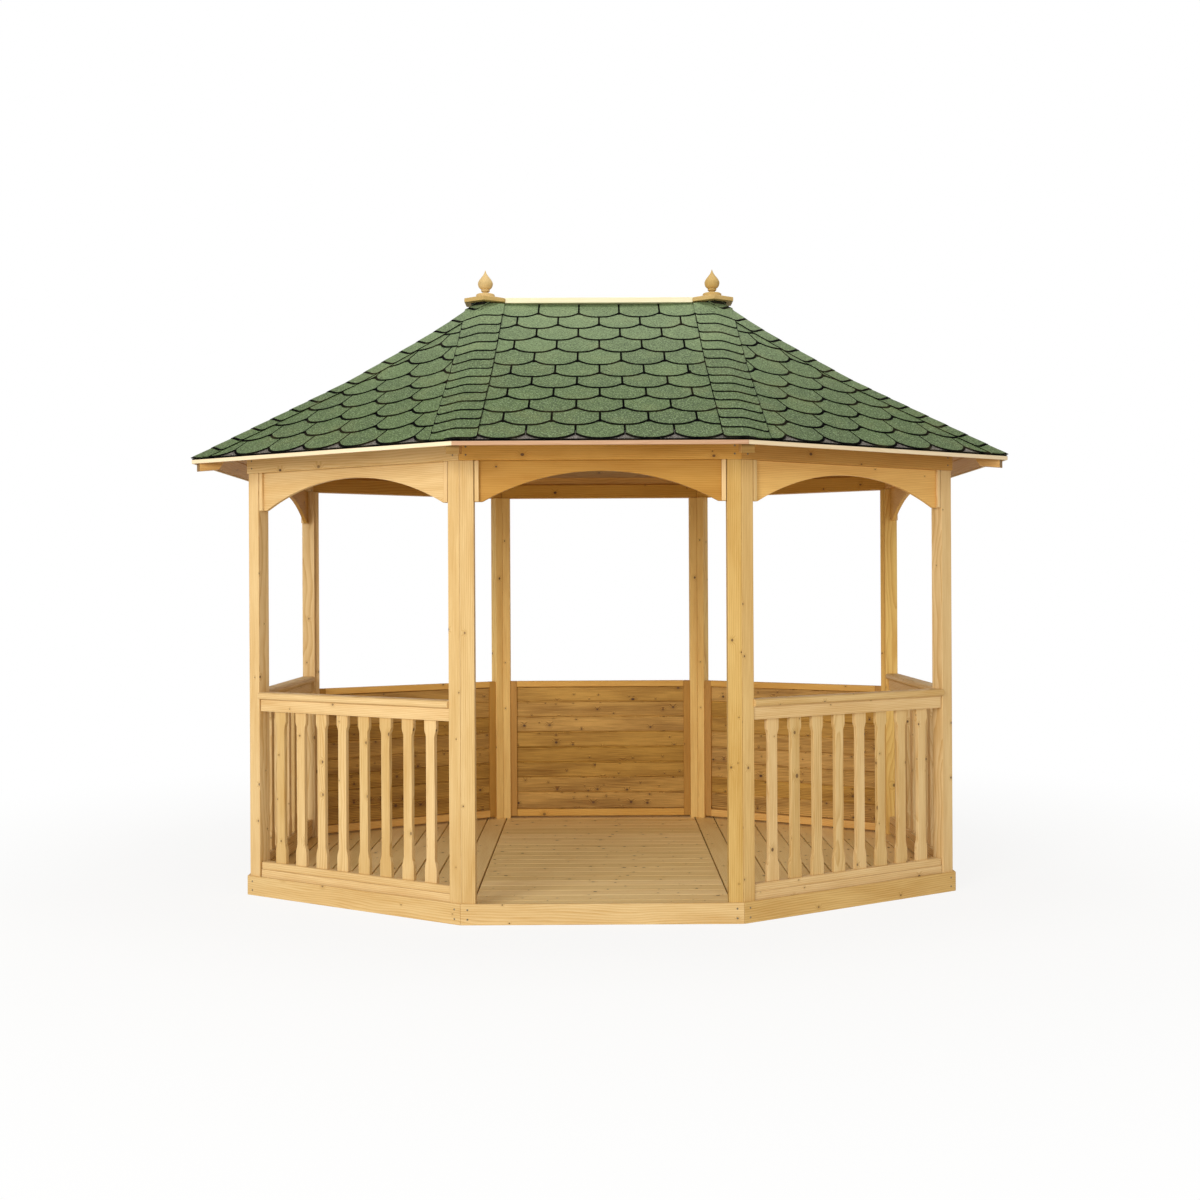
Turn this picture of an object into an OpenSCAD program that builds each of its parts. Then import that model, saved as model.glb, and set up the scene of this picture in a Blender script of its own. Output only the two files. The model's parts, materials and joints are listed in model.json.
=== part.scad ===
// Garden gazebo: elongated hexagon on plan with an open entrance, sawn arches,
// balustrades, boarded back panels and a hipped roof with two turned finials.
// Millimetres, +Z up, +X along the long side, entrance towards -Y.
// Origin on the ground under the middle of the roof.

/* [Plan] */
// corner radius of each half hexagon, outside the skirting
hex_r = 1200; // [1100:5:1300]
// width of the straight middle bay between the two half hexagons
mid_w = 1184; // [1050:2:1300]

/* [Base] */
// height of the skirting boards
skirt_h = 88; // [70:1:110]
// thickness of the skirting boards
skirt_t = 12; // [9:0.5:18]
// top of the floor boards above the ground
floor_z = 55; // [48:1:66]
// thickness of the floor boards
floor_t = 16; // [14:1:20]
// distance of the floor seams inside the ends of the middle bay
seam_in = 42; // [34:1:90]
// open seam between two floor sections
floor_seam = 6; // [3:0.5:10]
// spacing of the boards of the middle floor section
board_pitch = 99; // [80:1:120]
// spacing of the boards of the end floor sections
end_pitch = 106; // [85:1:130]
// width of the slits between the boards of the middle section
board_slit = 3; // [2:0.5:6]
// width of the slits between the boards of the end sections
end_slit = 5; // [2:0.5:8]
// depth of the slits between the floor boards
slit_depth = 6; // [3:0.5:10]
// width of a floor bearer
bearer_w = 45; // [36:1:60]
// distance of the outer bearers inside the ends of the end walls
bearer_in = 96; // [60:2:200]
// gap between the bearer ends and the skirting
bearer_back = 20; // [10:1:40]

/* [Posts] */
// width of one half post along its wall
post_w = 60; // [48:1:72]
// thickness of the posts across the wall
post_t = 66; // [58:1:76]
// open joint between two mitred pieces
joint_gap = 0.6; // [0.4:0.1:0.9]

/* [Top plates] */
// underside of the top plates above the ground
plate_z = 1937; // [1880:1:1980]
// height of the top plates
plate_h = 77; // [66:1:90]
// how far the plates stand proud of the posts
plate_proud = 7; // [2:0.5:10]
// thickness of the top plates
plate_t = 66; // [45:1:70]
// width of the ring beam that lies on the plates
ring_w = 46; // [36:1:56]
// height of the ring beam that lies on the plates
ring_h = 43; // [34:1:70]

/* [Arches] */
// drop of the arch boards below the plates at the posts
arch_drop = 173; // [140:1:200]
// height of the arch boards at the crown
arch_crown = 45; // [30:1:70]
// thickness of the arch boards
arch_t = 20; // [16:1:24]
// width of the end battens of the arches
batten_w = 19; // [15:1:24]
// thickness of the end battens of the arches
batten_t = 15; // [10:1:20]
// level foot of the arch curve beside each batten
arch_foot = 16; // [8:1:28]

/* [Balustrades] */
// top of the handrails above the ground
rail_z = 932; // [880:1:980]
// height of the handrails
rail_h = 32; // [26:1:40]
// width of the handrails
rail_w = 66; // [56:1:66]
// radius of the rounded handrail edges
rail_r = 9; // [5:0.5:12]
// height of the scratched bead line on the handrails
bead_z = 11.5; // [8:0.5:14]
// depth of the bead line
bead_v = 2.5; // [1.5:0.5:4]
// height of the rail under the handrail
upper_h = 55; // [44:1:66]
// top of the lower rail above the floor
lower_z = 99; // [88:1:120]
// height of the lower rail
lower_h = 88; // [64:1:88]
// height of the set-back upper part of the lower rail
rail_cap = 34; // [24:1:44]
// setback of the upper part of the lower rail
rail_step = 2; // [1:0.5:5]
// thickness of the upper and lower rails
bar_t = 44; // [36:1:52]
// setback of the upper and lower rails behind the post face
bar_back = 6; // [3:0.5:12]
// smallest gap between a post and its nearest baluster
baluster_gap = 40; // [20:1:60]
// width of a baluster at its blocks
baluster_w = 62; // [54:1:70]
// width of a baluster at its waist
waist_w = 45; // [36:1:50]
// thickness of a baluster
baluster_t = 20; // [16:1:26]
// spacing of the balusters
baluster_pitch = 121; // [112:1:124]
// height of the upper baluster block
block_top = 40; // [25:1:60]
// height of the lower baluster block
block_low = 57; // [35:1:80]
// length of the upper baluster taper
taper_top = 34; // [20:1:50]
// length of the lower baluster taper
taper_low = 46; // [25:1:60]

/* [Back panels] */
// top of the back panels above the ground
panel_z = 860; // [800:1:900]
// gap between the back panels and the floor
panel_lift = 12; // [5:1:20]
// width of the panel stiles
stile_w = 38; // [30:1:50]
// height of the top rail of a panel
head_h = 33; // [26:1:45]
// height of the bottom rail of a panel
foot_h = 40; // [30:1:55]
// thickness of the panel frames
frame_t = 44; // [36:1:52]
// setback of the panel frames behind the post face
frame_back = 12; // [8:1:16]
// thickness of the horizontal boards
board_t = 16; // [13:1:20]
// cover width of a horizontal board
board_cover = 89; // [70:1:110]
// depth of the vee at the joints of the boards
vee = 5; // [2:0.5:6]

/* [Roof] */
// overhang of the eaves beyond the skirting, along the corner radius
eave_over = 244; // [180:2:320]
// pitch of the front and back roof planes in degrees
roof_pitch = 30.365; // [24:0.005:38]
// plumb dip of the roof planes at half their height
roof_dip = 30; // [0:1:45]
// distance of each roof peak inside the end of the middle bay
peak_in = 20; // [4:1:60]
// thickness of the roof deck measured plumb
deck_v = 20; // [16:1:24]
// height of the eave trim
trim_h = 17; // [14:1:24]
// thickness of the eave trim
trim_t = 12; // [8:1:16]
// width of the hip rafters
hip_w = 53; // [44:1:58]
// plumb depth of the hip rafters
hip_h = 46; // [40:1:60]
// setback of the rafter tails behind the deck edge
tail_back = 18; // [17:1:60]
// height of the ridge beam
beam_h = 95; // [70:1:120]
// width of the ridge beam
beam_w = 45; // [38:1:60]
// width across the flats of the king blocks
king_w = 160; // [140:2:180]
// height of the king blocks
king_h = 110; // [80:1:140]
// gap between the king blocks and the deck
king_gap = 4; // [2:0.5:8]

/* [Ridge and finials] */
// thickness of the ridge board
ridge_board_h = 26; // [20:1:32]
// width of the ridge board
ridge_board_w = 95; // [80:1:110]
// corner radius of the finial caps
cap_r = 117; // [105:1:125]
// height of the square edge of the finial caps
cap_edge = 19; // [14:1:24]
// height of the bevelled top of the finial caps
cap_bevel = 14; // [8:1:18]
// corner radius of the flat on top of the finial caps
cap_flat = 62; // [54:1:75]
// lift of the finial caps over the ridge line
cap_lift = 3; // [2:0.5:3]
// corner radius of the seats below the finial caps
seat_r = 78; // [60:1:90]
// diameter of the finial foot
foot_d = 95; // [80:1:104]
// height of the finial foot
finial_foot_h = 19; // [15:1:24]
// height of the finial neck
neck_h = 12; // [8:1:18]
// height of the ring under the bulb
ring_bead_h = 10; // [7:1:14]
// largest diameter of the finial bulb
bulb_d = 76; // [60:1:84]
// diameter of the finial neck
neck_d = 24; // [18:1:30]
// diameter of the ring under the bulb
ring_d = 45; // [36:1:52]
// height of the bulb up to its widest place
bulb_low_h = 31; // [22:1:40]
// height of the bulb from its widest place to the tip
bulb_top_h = 67; // [50:1:80]

/* [Hidden] */
$fn = 48;
pine = [0.87, 0.70, 0.46];
board = [0.72, 0.53, 0.30];
felt = [0.36, 0.47, 0.31];
dark = [0.10, 0.10, 0.10];
// inner faces and levels shared by the pieces
wall_d = skirt_t;
floor_mid_w = mid_w - 2 * seam_in;
inner_d = wall_d + post_t;
plate_d = wall_d - plate_proud;
plate_top = plate_z + plate_h;
ridge_x = mid_w / 2 - peak_in;
eave_r = hex_r + eave_over;
deck_r = eave_r - trim_t;
arch_d = wall_d + batten_t;
bar_d = wall_d + bar_back;
frame_d = wall_d + frame_back;
upper_z = rail_z - rail_h;
panel_foot = floor_z + panel_lift;
// slopes of the front, end and corner roof planes
slope_f = tan(roof_pitch);
rise = slope_f * eave_r;
eave_x = mid_w / 2 + eave_r * cos(30);
slope_e = rise / (eave_x - ridge_x);
slope_x = rise / 2 / (eave_x - ridge_x - (mid_w / 2 - ridge_x) / 2);
slope_y = (rise - slope_x * (mid_w / 2 - ridge_x)) / eave_r;
// the hip rafters rest on the outer corners of the ring beam
seat_z = plate_top + ring_h;
ridge_z = seat_z + hip_h + deck_v + bend(max(slope_f * (hex_r - plate_d),
    slope_e * (mid_w / 2 + hex_r * cos(30) - plate_d - ridge_x)));
eave_z = ridge_z - rise;
finial_z = ridge_z + cap_lift + cap_edge + cap_bevel;
// front corners, then round to the left: sign of x, sign of y, kind (0 mid, 1 end)
corners = [[-1, -1, 0], [1, -1, 0], [1, -1, 1], [1, 1, 1], [1, 1, 0], [-1, 1, 0],
    [-1, 1, 1], [-1, -1, 1]];

// corner i of the plan, drawn for half hexagons of radius r and set in by d
function corner(i, d = 0, r = hex_r) =
    let (c = corners[i % 8])
    c[2] == 0
        ? [c[0] * (mid_w / 2 - d * tan(15)), c[1] * (r - d)]
        : [c[0] * (mid_w / 2 + r * cos(30) - d), c[1] * (r / 2 - d * tan(30))];
// tangent of the mitre at corner i
function mitre(i) = corners[i % 8][2] == 0 ? tan(15) : tan(30);
// length of side i outside the skirting
function side_len(i) = norm(corner(i + 1) - corner(i));
// ends of side i at depth d behind the skirting face
function side_a(i, d) = -side_len(i) / 2 + d * mitre(i);
function side_b(i, d) = side_len(i) / 2 - d * mitre(i + 1);
// clear span between the posts of side i
function span_a(i) = side_a(i, wall_d) + post_w;
function span_b(i) = side_b(i, wall_d) - post_w;
// fall of the dipped roof below the ridge where a flat plane would have fallen by l
function bend(l) = l + roof_dip * (1 - abs(2 * l / rise - 1));
// top of the roof deck over the point x, y
function roof_z(x, y) =
    let (px = abs(x) - ridge_x, py = abs(y))
    ridge_z - bend(max(slope_f * py, slope_x * px + slope_y * py, slope_e * px));
// underside of a hip rafter below the point c on its hip
function under_z(c) = roof_z(c[0], c[1]) - deck_v - hip_h;
// eave corner i for a roof of radius r
function eave(i, r) = corner(i, 0, r);
// peak above corner i
function peak(i) = [corners[i % 8][0] * ridge_x, 0];
// break of hip i at half height
function halfway(i) = (peak(i) + eave(i, eave_r)) / 2;

// places the children on side i: x along the wall, y inwards, z up
module on_side(i) {
    p = corner(i);
    q = corner(i + 1);
    translate([(p[0] + q[0]) / 2, (p[1] + q[1]) / 2, 0])
        rotate([0, 0, atan2(q[1] - p[1], q[0] - p[0])])
            children();
}

// mitred bar along side i from depth d to d + t
module side_bar(i, d, t, z, h) {
    g = joint_gap / 2;
    on_side(i)
        translate([0, 0, z])
            linear_extrude(h)
                polygon([[side_a(i, d) + g, d], [side_b(i, d) - g, d],
                    [side_b(i, d + t) - g, d + t], [side_a(i, d + t) + g, d + t]]);
}

// two mitred half posts at corner i
module post(i) {
    g = joint_gap / 2;
    p = (i + 7) % 8;
    color(pine) {
        on_side(i)
            translate([0, 0, floor_z])
                linear_extrude(plate_z - floor_z)
                    polygon([[side_a(i, wall_d) + g, wall_d], [span_a(i), wall_d],
                        [span_a(i), inner_d], [side_a(i, inner_d) + g, inner_d]]);
        on_side(p)
            translate([0, 0, floor_z])
                linear_extrude(plate_z - floor_z)
                    polygon([[span_b(p), wall_d], [side_b(p, wall_d) - g, wall_d],
                        [side_b(p, inner_d) - g, inner_d], [span_b(p), inner_d]]);
    }
}

// floor outline inside the skirting
module floor_plan() {
    polygon([for (i = [0:7]) corner(i, wall_d)]);
}

// middle floor section
module floor_centre() {
    run = 2 * (hex_r - wall_d);
    n = round(run / board_pitch);
    color(board)
        difference() {
            translate([0, 0, floor_z - floor_t])
                linear_extrude(floor_t)
                    intersection() {
                        floor_plan();
                        square([floor_mid_w, 4 * hex_r], center = true);
                    }
            for (k = [1:n - 1])
                translate([0, (k / n - 0.5) * run, floor_z])
                    cube([2 * floor_mid_w, board_slit, 2 * slit_depth], center = true);
        }
}

// end floor section, s is -1 on the left and 1 on the right
module floor_end(s) {
    first = floor_mid_w / 2 + floor_seam;
    run = mid_w / 2 + hex_r * cos(30) - wall_d - first;
    n = round(run / end_pitch);
    color(board)
        difference() {
            translate([0, 0, floor_z - floor_t])
                linear_extrude(floor_t)
                    intersection() {
                        floor_plan();
                        translate([s * (first + hex_r), 0])
                            square([2 * hex_r, 4 * hex_r], center = true);
                    }
            for (k = [1:n - 1])
                translate([s * (first + run * k / n), 0, floor_z])
                    cube([end_slit, 4 * hex_r, 2 * slit_depth], center = true);
        }
}

// bearers under the floor sections
module floor_bearers() {
    color(board)
        linear_extrude(floor_z - floor_t)
            intersection() {
                polygon([for (i = [0:7]) corner(i, wall_d + bearer_back)]);
                union() {
                    for (x = [-1.5:1:1.5])
                        translate([x * (floor_mid_w - bearer_w) / 3, 0])
                            square([bearer_w, 4 * hex_r], center = true);
                    for (s = [-1, 1], y = [-1:1])
                        translate([s * (floor_mid_w / 2 + floor_seam + hex_r), y * (hex_r / 2 - bearer_in)])
                            square([2 * hex_r, bearer_w], center = true);
                }
            }
}

// skirting boards round the floor
module skirting() {
    color(pine)
        for (i = [0:7])
            side_bar(i, 0, skirt_t, 0, skirt_h);
}

// plates on the posts
module top_plates() {
    color(pine)
        for (i = [0:7])
            side_bar(i, plate_d, plate_t, plate_z, plate_h);
}

// beam on the plates that carries the roof
module ring_beam() {
    color(pine)
        for (i = [0:7])
            side_bar(i, plate_d, ring_w, plate_top, ring_h);
}

// outline of the arch board of side i: level feet and a circular curve between
module arch_shape(i) {
    a = span_a(i);
    b = span_b(i);
    m = (a + b) / 2;
    half = (b - a) / 2 - batten_w - arch_foot;
    sag = arch_drop - arch_crown;
    rad = (half * half + sag * sag) / (2 * sag);
    difference() {
        translate([a, plate_z - arch_drop])
            square([b - a, arch_drop]);
        intersection() {
            translate([m, plate_z - arch_crown - rad])
                circle(r = rad, $fn = 180);
            translate([m - half, plate_z - arch_drop - 1])
                square([2 * half, arch_drop]);
        }
    }
}

// sawn arch board under the plate of side i
module arch(i) {
    color(pine)
        on_side(i)
            translate([0, arch_d + arch_t, 0])
                rotate([90, 0, 0])
                    linear_extrude(arch_t)
                        arch_shape(i);
}

// upright battens in front of the arch ends
module arch_battens() {
    color(pine)
        for (i = [7, 0, 1, 2, 6])
            on_side(i)
                for (x = [span_a(i), span_b(i) - batten_w])
                    translate([x, wall_d, plate_z - arch_drop])
                        cube([batten_w, batten_t, arch_drop]);
}

// outline of one baluster from z0 to z1, centred on x
module baluster_shape(x, z0, z1) {
    w = baluster_w / 2;
    n = waist_w / 2;
    zl = z0 + block_low;
    zt = z1 - block_top;
    half = [
        [w, z0], [w, zl],
        for (k = [1:4])
            [w - (w - n) * (1 - cos(45 * k)) / 2, zl + taper_low * k / 4],
        for (k = [0:3])
            [n + (w - n) * (1 - cos(45 * k)) / 2, zt - taper_top * (1 - k / 4)],
        [w, zt], [w, z1]];
    polygon(concat(
        [for (p = half) [x + p[0], p[1]]],
        [for (k = [len(half) - 1:-1:0]) [x - half[k][0], half[k][1]]]));
}

// rails and sawn balusters between the posts of side i
module balustrade(i) {
    a = span_a(i);
    b = span_b(i);
    m = (a + b) / 2;
    n = 1 + floor((b - a - baluster_w - 2 * baluster_gap) / baluster_pitch);
    z0 = floor_z + lower_z;
    color(pine)
        on_side(i) {
            translate([a, bar_d, z0 - lower_h])
                rotate([90, 0, 90])
                    linear_extrude(b - a)
                        lower_rail_shape();
            translate([a, bar_d, upper_z - upper_h])
                cube([b - a, bar_t, upper_h]);
            translate([0, bar_d + (bar_t + baluster_t) / 2, 0])
                rotate([90, 0, 0])
                    linear_extrude(baluster_t)
                        for (k = [0:n - 1])
                            baluster_shape(m + (k - (n - 1) / 2) * baluster_pitch,
                                z0, upper_z - upper_h);
        }
}

// lower rail section with its upper part set back
module lower_rail_shape() {
    square([bar_t, lower_h - rail_cap]);
    translate([rail_step, 0])
        square([bar_t - 2 * rail_step, lower_h]);
}

// handrail section with rounded top edges and a bead line on both sides
module rail_shape() {
    difference() {
        union() {
            square([rail_w, rail_h - rail_r]);
            translate([rail_r, 0])
                square([rail_w - 2 * rail_r, rail_h]);
            for (y = [rail_r, rail_w - rail_r])
                translate([y, rail_h - rail_r])
                    circle(r = rail_r);
        }
        for (y = [0, rail_w])
            translate([y, bead_z])
                circle(r = bead_v, $fn = 4);
    }
}

// handrails on the balustrades
module handrails() {
    color(pine)
        for (i = [7, 1, 2, 6])
            on_side(i)
                translate([span_a(i), wall_d, upper_z])
                    rotate([90, 0, 90])
                        linear_extrude(span_b(i) - span_a(i))
                            rail_shape();
}

// frame of the boarded panel of side i
module panel_frame(i) {
    a = span_a(i);
    b = span_b(i);
    color(pine)
        on_side(i)
            translate([0, frame_d + frame_t, 0])
                rotate([90, 0, 0])
                    linear_extrude(frame_t)
                        difference() {
                            translate([a, panel_foot])
                                square([b - a, panel_z - panel_foot]);
                            translate([a + stile_w, panel_foot + foot_h])
                                square([b - a - 2 * stile_w,
                                    panel_z - panel_foot - foot_h - head_h]);
                        }
}

// section of the boards of a panel, with vee joints on both faces
module board_shape() {
    h = panel_z - panel_foot - foot_h - head_h;
    difference() {
        square([board_t, h]);
        for (z = [h - board_cover:-board_cover:2 * vee], y = [0, board_t])
            translate([y, z])
                circle(r = vee, $fn = 4);
    }
}

// boards set into the panel frames
module panel_boards() {
    color(board)
        for (i = [3, 4, 5])
            on_side(i)
                translate([span_a(i) + stile_w, frame_d + (frame_t - board_t) / 2,
                        panel_foot + foot_h])
                    rotate([90, 0, 90])
                        linear_extrude(span_b(i) - span_a(i) - 2 * stile_w)
                            board_shape();
}

// roof deck over side i, a sheet of even plumb thickness
module roof(i) {
    s = peak(i);
    e = peak(i + 1);
    low = [eave(i, deck_r), eave(i + 1, deck_r), halfway(i + 1)];
    plan = s == e ? concat(low, [e, halfway(i)]) : concat(low, [e, s, halfway(i)]);
    n = len(plan);
    under = [[0, 1, 2, n - 1], [for (k = [2:n - 1]) k]];
    color(felt)
        polyhedron(
            points = concat(
                [for (v = plan) [v[0], v[1], roof_z(v[0], v[1]) - deck_v]],
                [for (v = plan) [v[0], v[1], roof_z(v[0], v[1])]]),
            faces = concat(
                under,
                [for (f = under) [for (k = [len(f) - 1:-1:0]) n + f[k]]],
                [for (k = [0:n - 1]) [k, n + k, n + (k + 1) % n, (k + 1) % n]]));
}

// one hip rafter under corner i: plumb cut tail, heel on the ring beam, backed to the deck
module hip_rafter(i) {
    s = peak(i);
    t = eave(i, deck_r);
    u = (t - s) / norm(t - s);
    a = king_w / 2;
    m = norm(halfway(i) - s);
    b = norm(t - s) - tail_back;
    near = (corner(i, plate_d + ring_w) - s) * u;
    far = (corner(i, plate_d) - s) * u;
    difference() {
        translate([s[0], s[1], 0])
            rotate([90, 0, atan2(u[1], u[0])])
                translate([0, 0, -hip_w / 2])
                    linear_extrude(hip_w)
                        polygon([[a, under_z(s + u * a) + hip_h], [a, under_z(s + u * a)],
                            [m, under_z(s + u * m)], [near, under_z(s + u * near)],
                            [near, seat_z], [far, seat_z], [b, under_z(s + u * b)],
                            [b, under_z(s + u * b) + hip_h], [m, under_z(s + u * m) + hip_h]]);
        roof(i);
        roof((i + 7) % 8);
    }
}

// rafters under the eight hips
module hip_rafters() {
    color(board)
        for (i = [0:7])
            hip_rafter(i);
}

// blocks that the rafters meet below the peaks
module king_blocks() {
    top = roof_z(ridge_x + king_w * 0.52, 0) - deck_v - king_gap;
    color(board)
        for (s = [-1, 1])
            translate([s * ridge_x, 0, top - king_h])
                rotate([0, 0, 15])
                    cylinder(d = king_w / cos(15), h = king_h, $fn = 12);
}

// beam under the ridge between the king blocks
module ridge_beam() {
    w = beam_w / 2;
    z = ridge_z - deck_v;
    x = ridge_x - king_w / 2;
    color(board)
        translate([-x, 0, 0])
            rotate([90, 0, 90])
                linear_extrude(2 * x)
                    polygon([[-w, z - beam_h], [w, z - beam_h], [w, roof_z(0, w) - deck_v], [0, z],
                        [-w, roof_z(0, w) - deck_v]]);
}

// trim strips round the eaves
module eave_trim() {
    g = joint_gap / 2;
    color(pine)
        translate([0, 0, eave_z - trim_h])
            linear_extrude(trim_h)
                difference() {
                    polygon([for (i = [0:7]) eave(i, eave_r)]);
                    polygon([for (i = [0:7]) eave(i, deck_r)]);
                    for (i = [0:7])
                        translate(eave(i, eave_r))
                            rotate([0, 0, atan2(eave(i, eave_r)[1], eave(i, eave_r)[0] - peak(i)[0])])
                                square([4 * trim_t, 2 * g], center = true);
                }
}

// board along the ridge between the finial caps
module ridge_board() {
    x = ridge_x - cap_r * cos(30);
    color(pine)
        translate([-x, -ridge_board_w / 2, ridge_z])
            cube([2 * x, ridge_board_w, ridge_board_h]);
}

// bedded seat over one peak, s is -1 on the left and 1 on the right
module finial_seat(s) {
    u = [for (i = [1, 2, 3, 4]) (eave(i, deck_r) - peak(i)) / norm(eave(i, deck_r) - peak(i))];
    ring = concat([for (v = u) v * seat_r], [[-seat_r, 0]]);
    n = len(ring);
    pts = concat(
        [for (v = ring) [v[0], v[1], roof_z(ridge_x + v[0], v[1])]],
        [for (v = ring) [v[0], v[1], ridge_z + cap_lift]],
        [[0, 0, ridge_z]]);
    translate([s * ridge_x, 0, 0])
        rotate([0, 0, s > 0 ? 0 : 180])
            polyhedron(points = pts,
                faces = concat(
                    [[for (k = [n - 1:-1:0]) n + k]],
                    [for (k = [0:n - 1]) [k, n + k, n + (k + 1) % n, (k + 1) % n]],
                    [for (k = [0:n - 1]) [k, (k + 1) % n, 2 * n]]));
}

// seats below the finial caps
module finial_seats() {
    color(dark)
        for (s = [-1, 1])
            finial_seat(s);
}

// six-sided bevelled caps over the peaks
module finial_caps() {
    color(pine)
        for (s = [-1, 1])
            translate([s * ridge_x, 0, ridge_z + cap_lift])
                rotate([0, 0, 30]) {
                    cylinder(r = cap_r, h = cap_edge, $fn = 6);
                    translate([0, 0, cap_edge])
                        cylinder(r1 = cap_r, r2 = cap_flat, h = cap_bevel, $fn = 6);
                }
}

// half section of a turned finial: foot, hollow neck, bead and pointed bulb
module finial_shape() {
    f = foot_d / 2;
    n = neck_d / 2;
    r = ring_d / 2;
    b = bulb_d / 2;
    z1 = finial_foot_h;
    z2 = z1 + neck_h;
    z3 = z2 + ring_bead_h;
    z4 = z3 + bulb_low_h;
    polygon(concat(
        [[0, 0], [f, 0], [f, 0.65 * z1], [0.9 * f, 0.9 * z1], [0.7 * f, z1]],
        [for (k = [1:5]) [n + (0.7 * f - n) * pow(1 - k / 5, 2), z1 + neck_h * k / 5]],
        [for (k = [0:4]) [n + (r - n) * (0.7 + 0.3 * sin(45 * k)), z2 + ring_bead_h * k / 4]],
        [for (k = [0:6]) [1.2 * n + (b - 1.2 * n) * sin(15 * k), z3 + bulb_low_h * (1 - cos(15 * k))]],
        [for (k = [1:7]) [b * (0.54 + 0.46 * cos(22.5 * k)) * (1 - 0.03 * k), z4 + bulb_top_h * k / 8]],
        [[0, z4 + bulb_top_h]]));
}

// turned finials on the caps
module finials() {
    color(pine)
        for (s = [-1, 1])
            translate([s * ridge_x, 0, finial_z])
                rotate_extrude()
                    finial_shape();
}

floor_centre();
floor_end(-1);  // floor_left
floor_end(1);  // floor_right
floor_bearers();
skirting();
post(0);  // post_front_left
post(1);  // post_front_right
post(2);  // post_right_front
post(3);  // post_right_back
post(4);  // post_back_right
post(5);  // post_back_left
post(6);  // post_left_back
post(7);  // post_left_front
top_plates();
ring_beam();
arch(0);  // arch_front
arch(1);  // arch_front_right
arch(2);  // arch_right
arch(6);  // arch_left
arch(7);  // arch_front_left
arch_battens();
balustrade(1);  // balustrade_front_right
balustrade(2);  // balustrade_right
balustrade(6);  // balustrade_left
balustrade(7);  // balustrade_front_left
handrails();
panel_frame(3);  // panel_frame_back_right
panel_frame(4);  // panel_frame_back
panel_frame(5);  // panel_frame_back_left
panel_boards();
roof(0);  // roof_front
roof(1);  // roof_front_right
roof(2);  // roof_right
roof(3);  // roof_back_right
roof(4);  // roof_back
roof(5);  // roof_back_left
roof(6);  // roof_left
roof(7);  // roof_front_left
hip_rafters();
king_blocks();
ridge_beam();
eave_trim();
ridge_board();
finial_seats();
finial_caps();
finials();
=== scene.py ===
"""Garden gazebo: boards, shingles, fixings, finishes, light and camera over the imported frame.

Metres, +Z up, the entrance towards -Y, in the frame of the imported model.
"""
from __future__ import annotations

import json
import logging
import math
import random
from collections.abc import Callable, Sequence
from dataclasses import dataclass, field
from enum import Enum

import bmesh
import bpy
from mathutils import Matrix, Vector

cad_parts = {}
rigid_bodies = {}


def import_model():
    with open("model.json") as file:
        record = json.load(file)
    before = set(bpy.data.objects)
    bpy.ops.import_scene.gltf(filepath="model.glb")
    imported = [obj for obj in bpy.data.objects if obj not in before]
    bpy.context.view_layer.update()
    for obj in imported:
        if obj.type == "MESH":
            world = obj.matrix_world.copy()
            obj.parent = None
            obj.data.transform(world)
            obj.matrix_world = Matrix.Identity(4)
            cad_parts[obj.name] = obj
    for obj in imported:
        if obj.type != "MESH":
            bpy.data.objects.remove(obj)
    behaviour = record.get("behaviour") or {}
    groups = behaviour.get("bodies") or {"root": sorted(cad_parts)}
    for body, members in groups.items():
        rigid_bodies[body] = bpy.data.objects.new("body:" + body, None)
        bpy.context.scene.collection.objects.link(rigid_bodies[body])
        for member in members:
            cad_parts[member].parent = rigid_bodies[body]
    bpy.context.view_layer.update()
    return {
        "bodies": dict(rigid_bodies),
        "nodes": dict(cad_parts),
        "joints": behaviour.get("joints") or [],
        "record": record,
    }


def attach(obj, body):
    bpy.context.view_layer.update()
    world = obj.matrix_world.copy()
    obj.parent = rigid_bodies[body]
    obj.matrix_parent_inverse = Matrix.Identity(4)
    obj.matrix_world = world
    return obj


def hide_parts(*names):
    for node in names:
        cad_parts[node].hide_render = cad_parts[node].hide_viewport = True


LOG = logging.getLogger("gazebo")
BODY = "root"
Colour = tuple[float, float, float]
Place = tuple[float, float, float]
Outline = list[tuple[float, float]]
WELD = 2e-4  # points of an outline that lie closer than this become one
REACH = 3.0  # further than any roof face runs to either side
BEVELLED = math.radians(28)  # edges of a board that turn more than this are eased
CREASED = math.radians(40)  # edges of a smooth piece that turn more than this stay sharp
PITH = (0.04, 0.12)  # how far from the heart of the tree a board is sawn
TRUNK = 60.0  # length of timber that the boards are drawn from


class Grain(Enum):
    """The axis of a board's own frame that its grain follows."""

    X = 0
    Y = 1
    Z = 2

    def order(self, co: Vector, normal: Vector) -> Place:
        """Reads a point on a face as (along, across, through) the grain.

        Args:
            co: The point in the board's frame.
            normal: Normal of the face.

        Returns:
            The point with its across axis in the face.
        """
        k = self.value
        a, b = (k + 1) % 3, (k + 2) % 3
        if abs(normal[a]) > abs(normal[b]):
            a, b = b, a
        return (co[k], co[a], co[b])


class Side(Enum):
    """The eight walls, counted round from the entrance."""

    FRONT = 0
    FRONT_RIGHT = 1
    RIGHT = 2
    BACK_RIGHT = 3
    BACK = 4
    BACK_LEFT = 5
    LEFT = 6
    FRONT_LEFT = 7

    @property
    def label(self) -> str:
        """The name of the wall as the CAD nodes write it."""
        return self.name.lower()


# What stands in each wall.
ARCHED = (Side.FRONT, Side.FRONT_RIGHT, Side.RIGHT, Side.LEFT, Side.FRONT_LEFT)
RAILED = (Side.FRONT_RIGHT, Side.RIGHT, Side.LEFT, Side.FRONT_LEFT)
PANELLED = (Side.BACK_RIGHT, Side.BACK, Side.BACK_LEFT)
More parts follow.
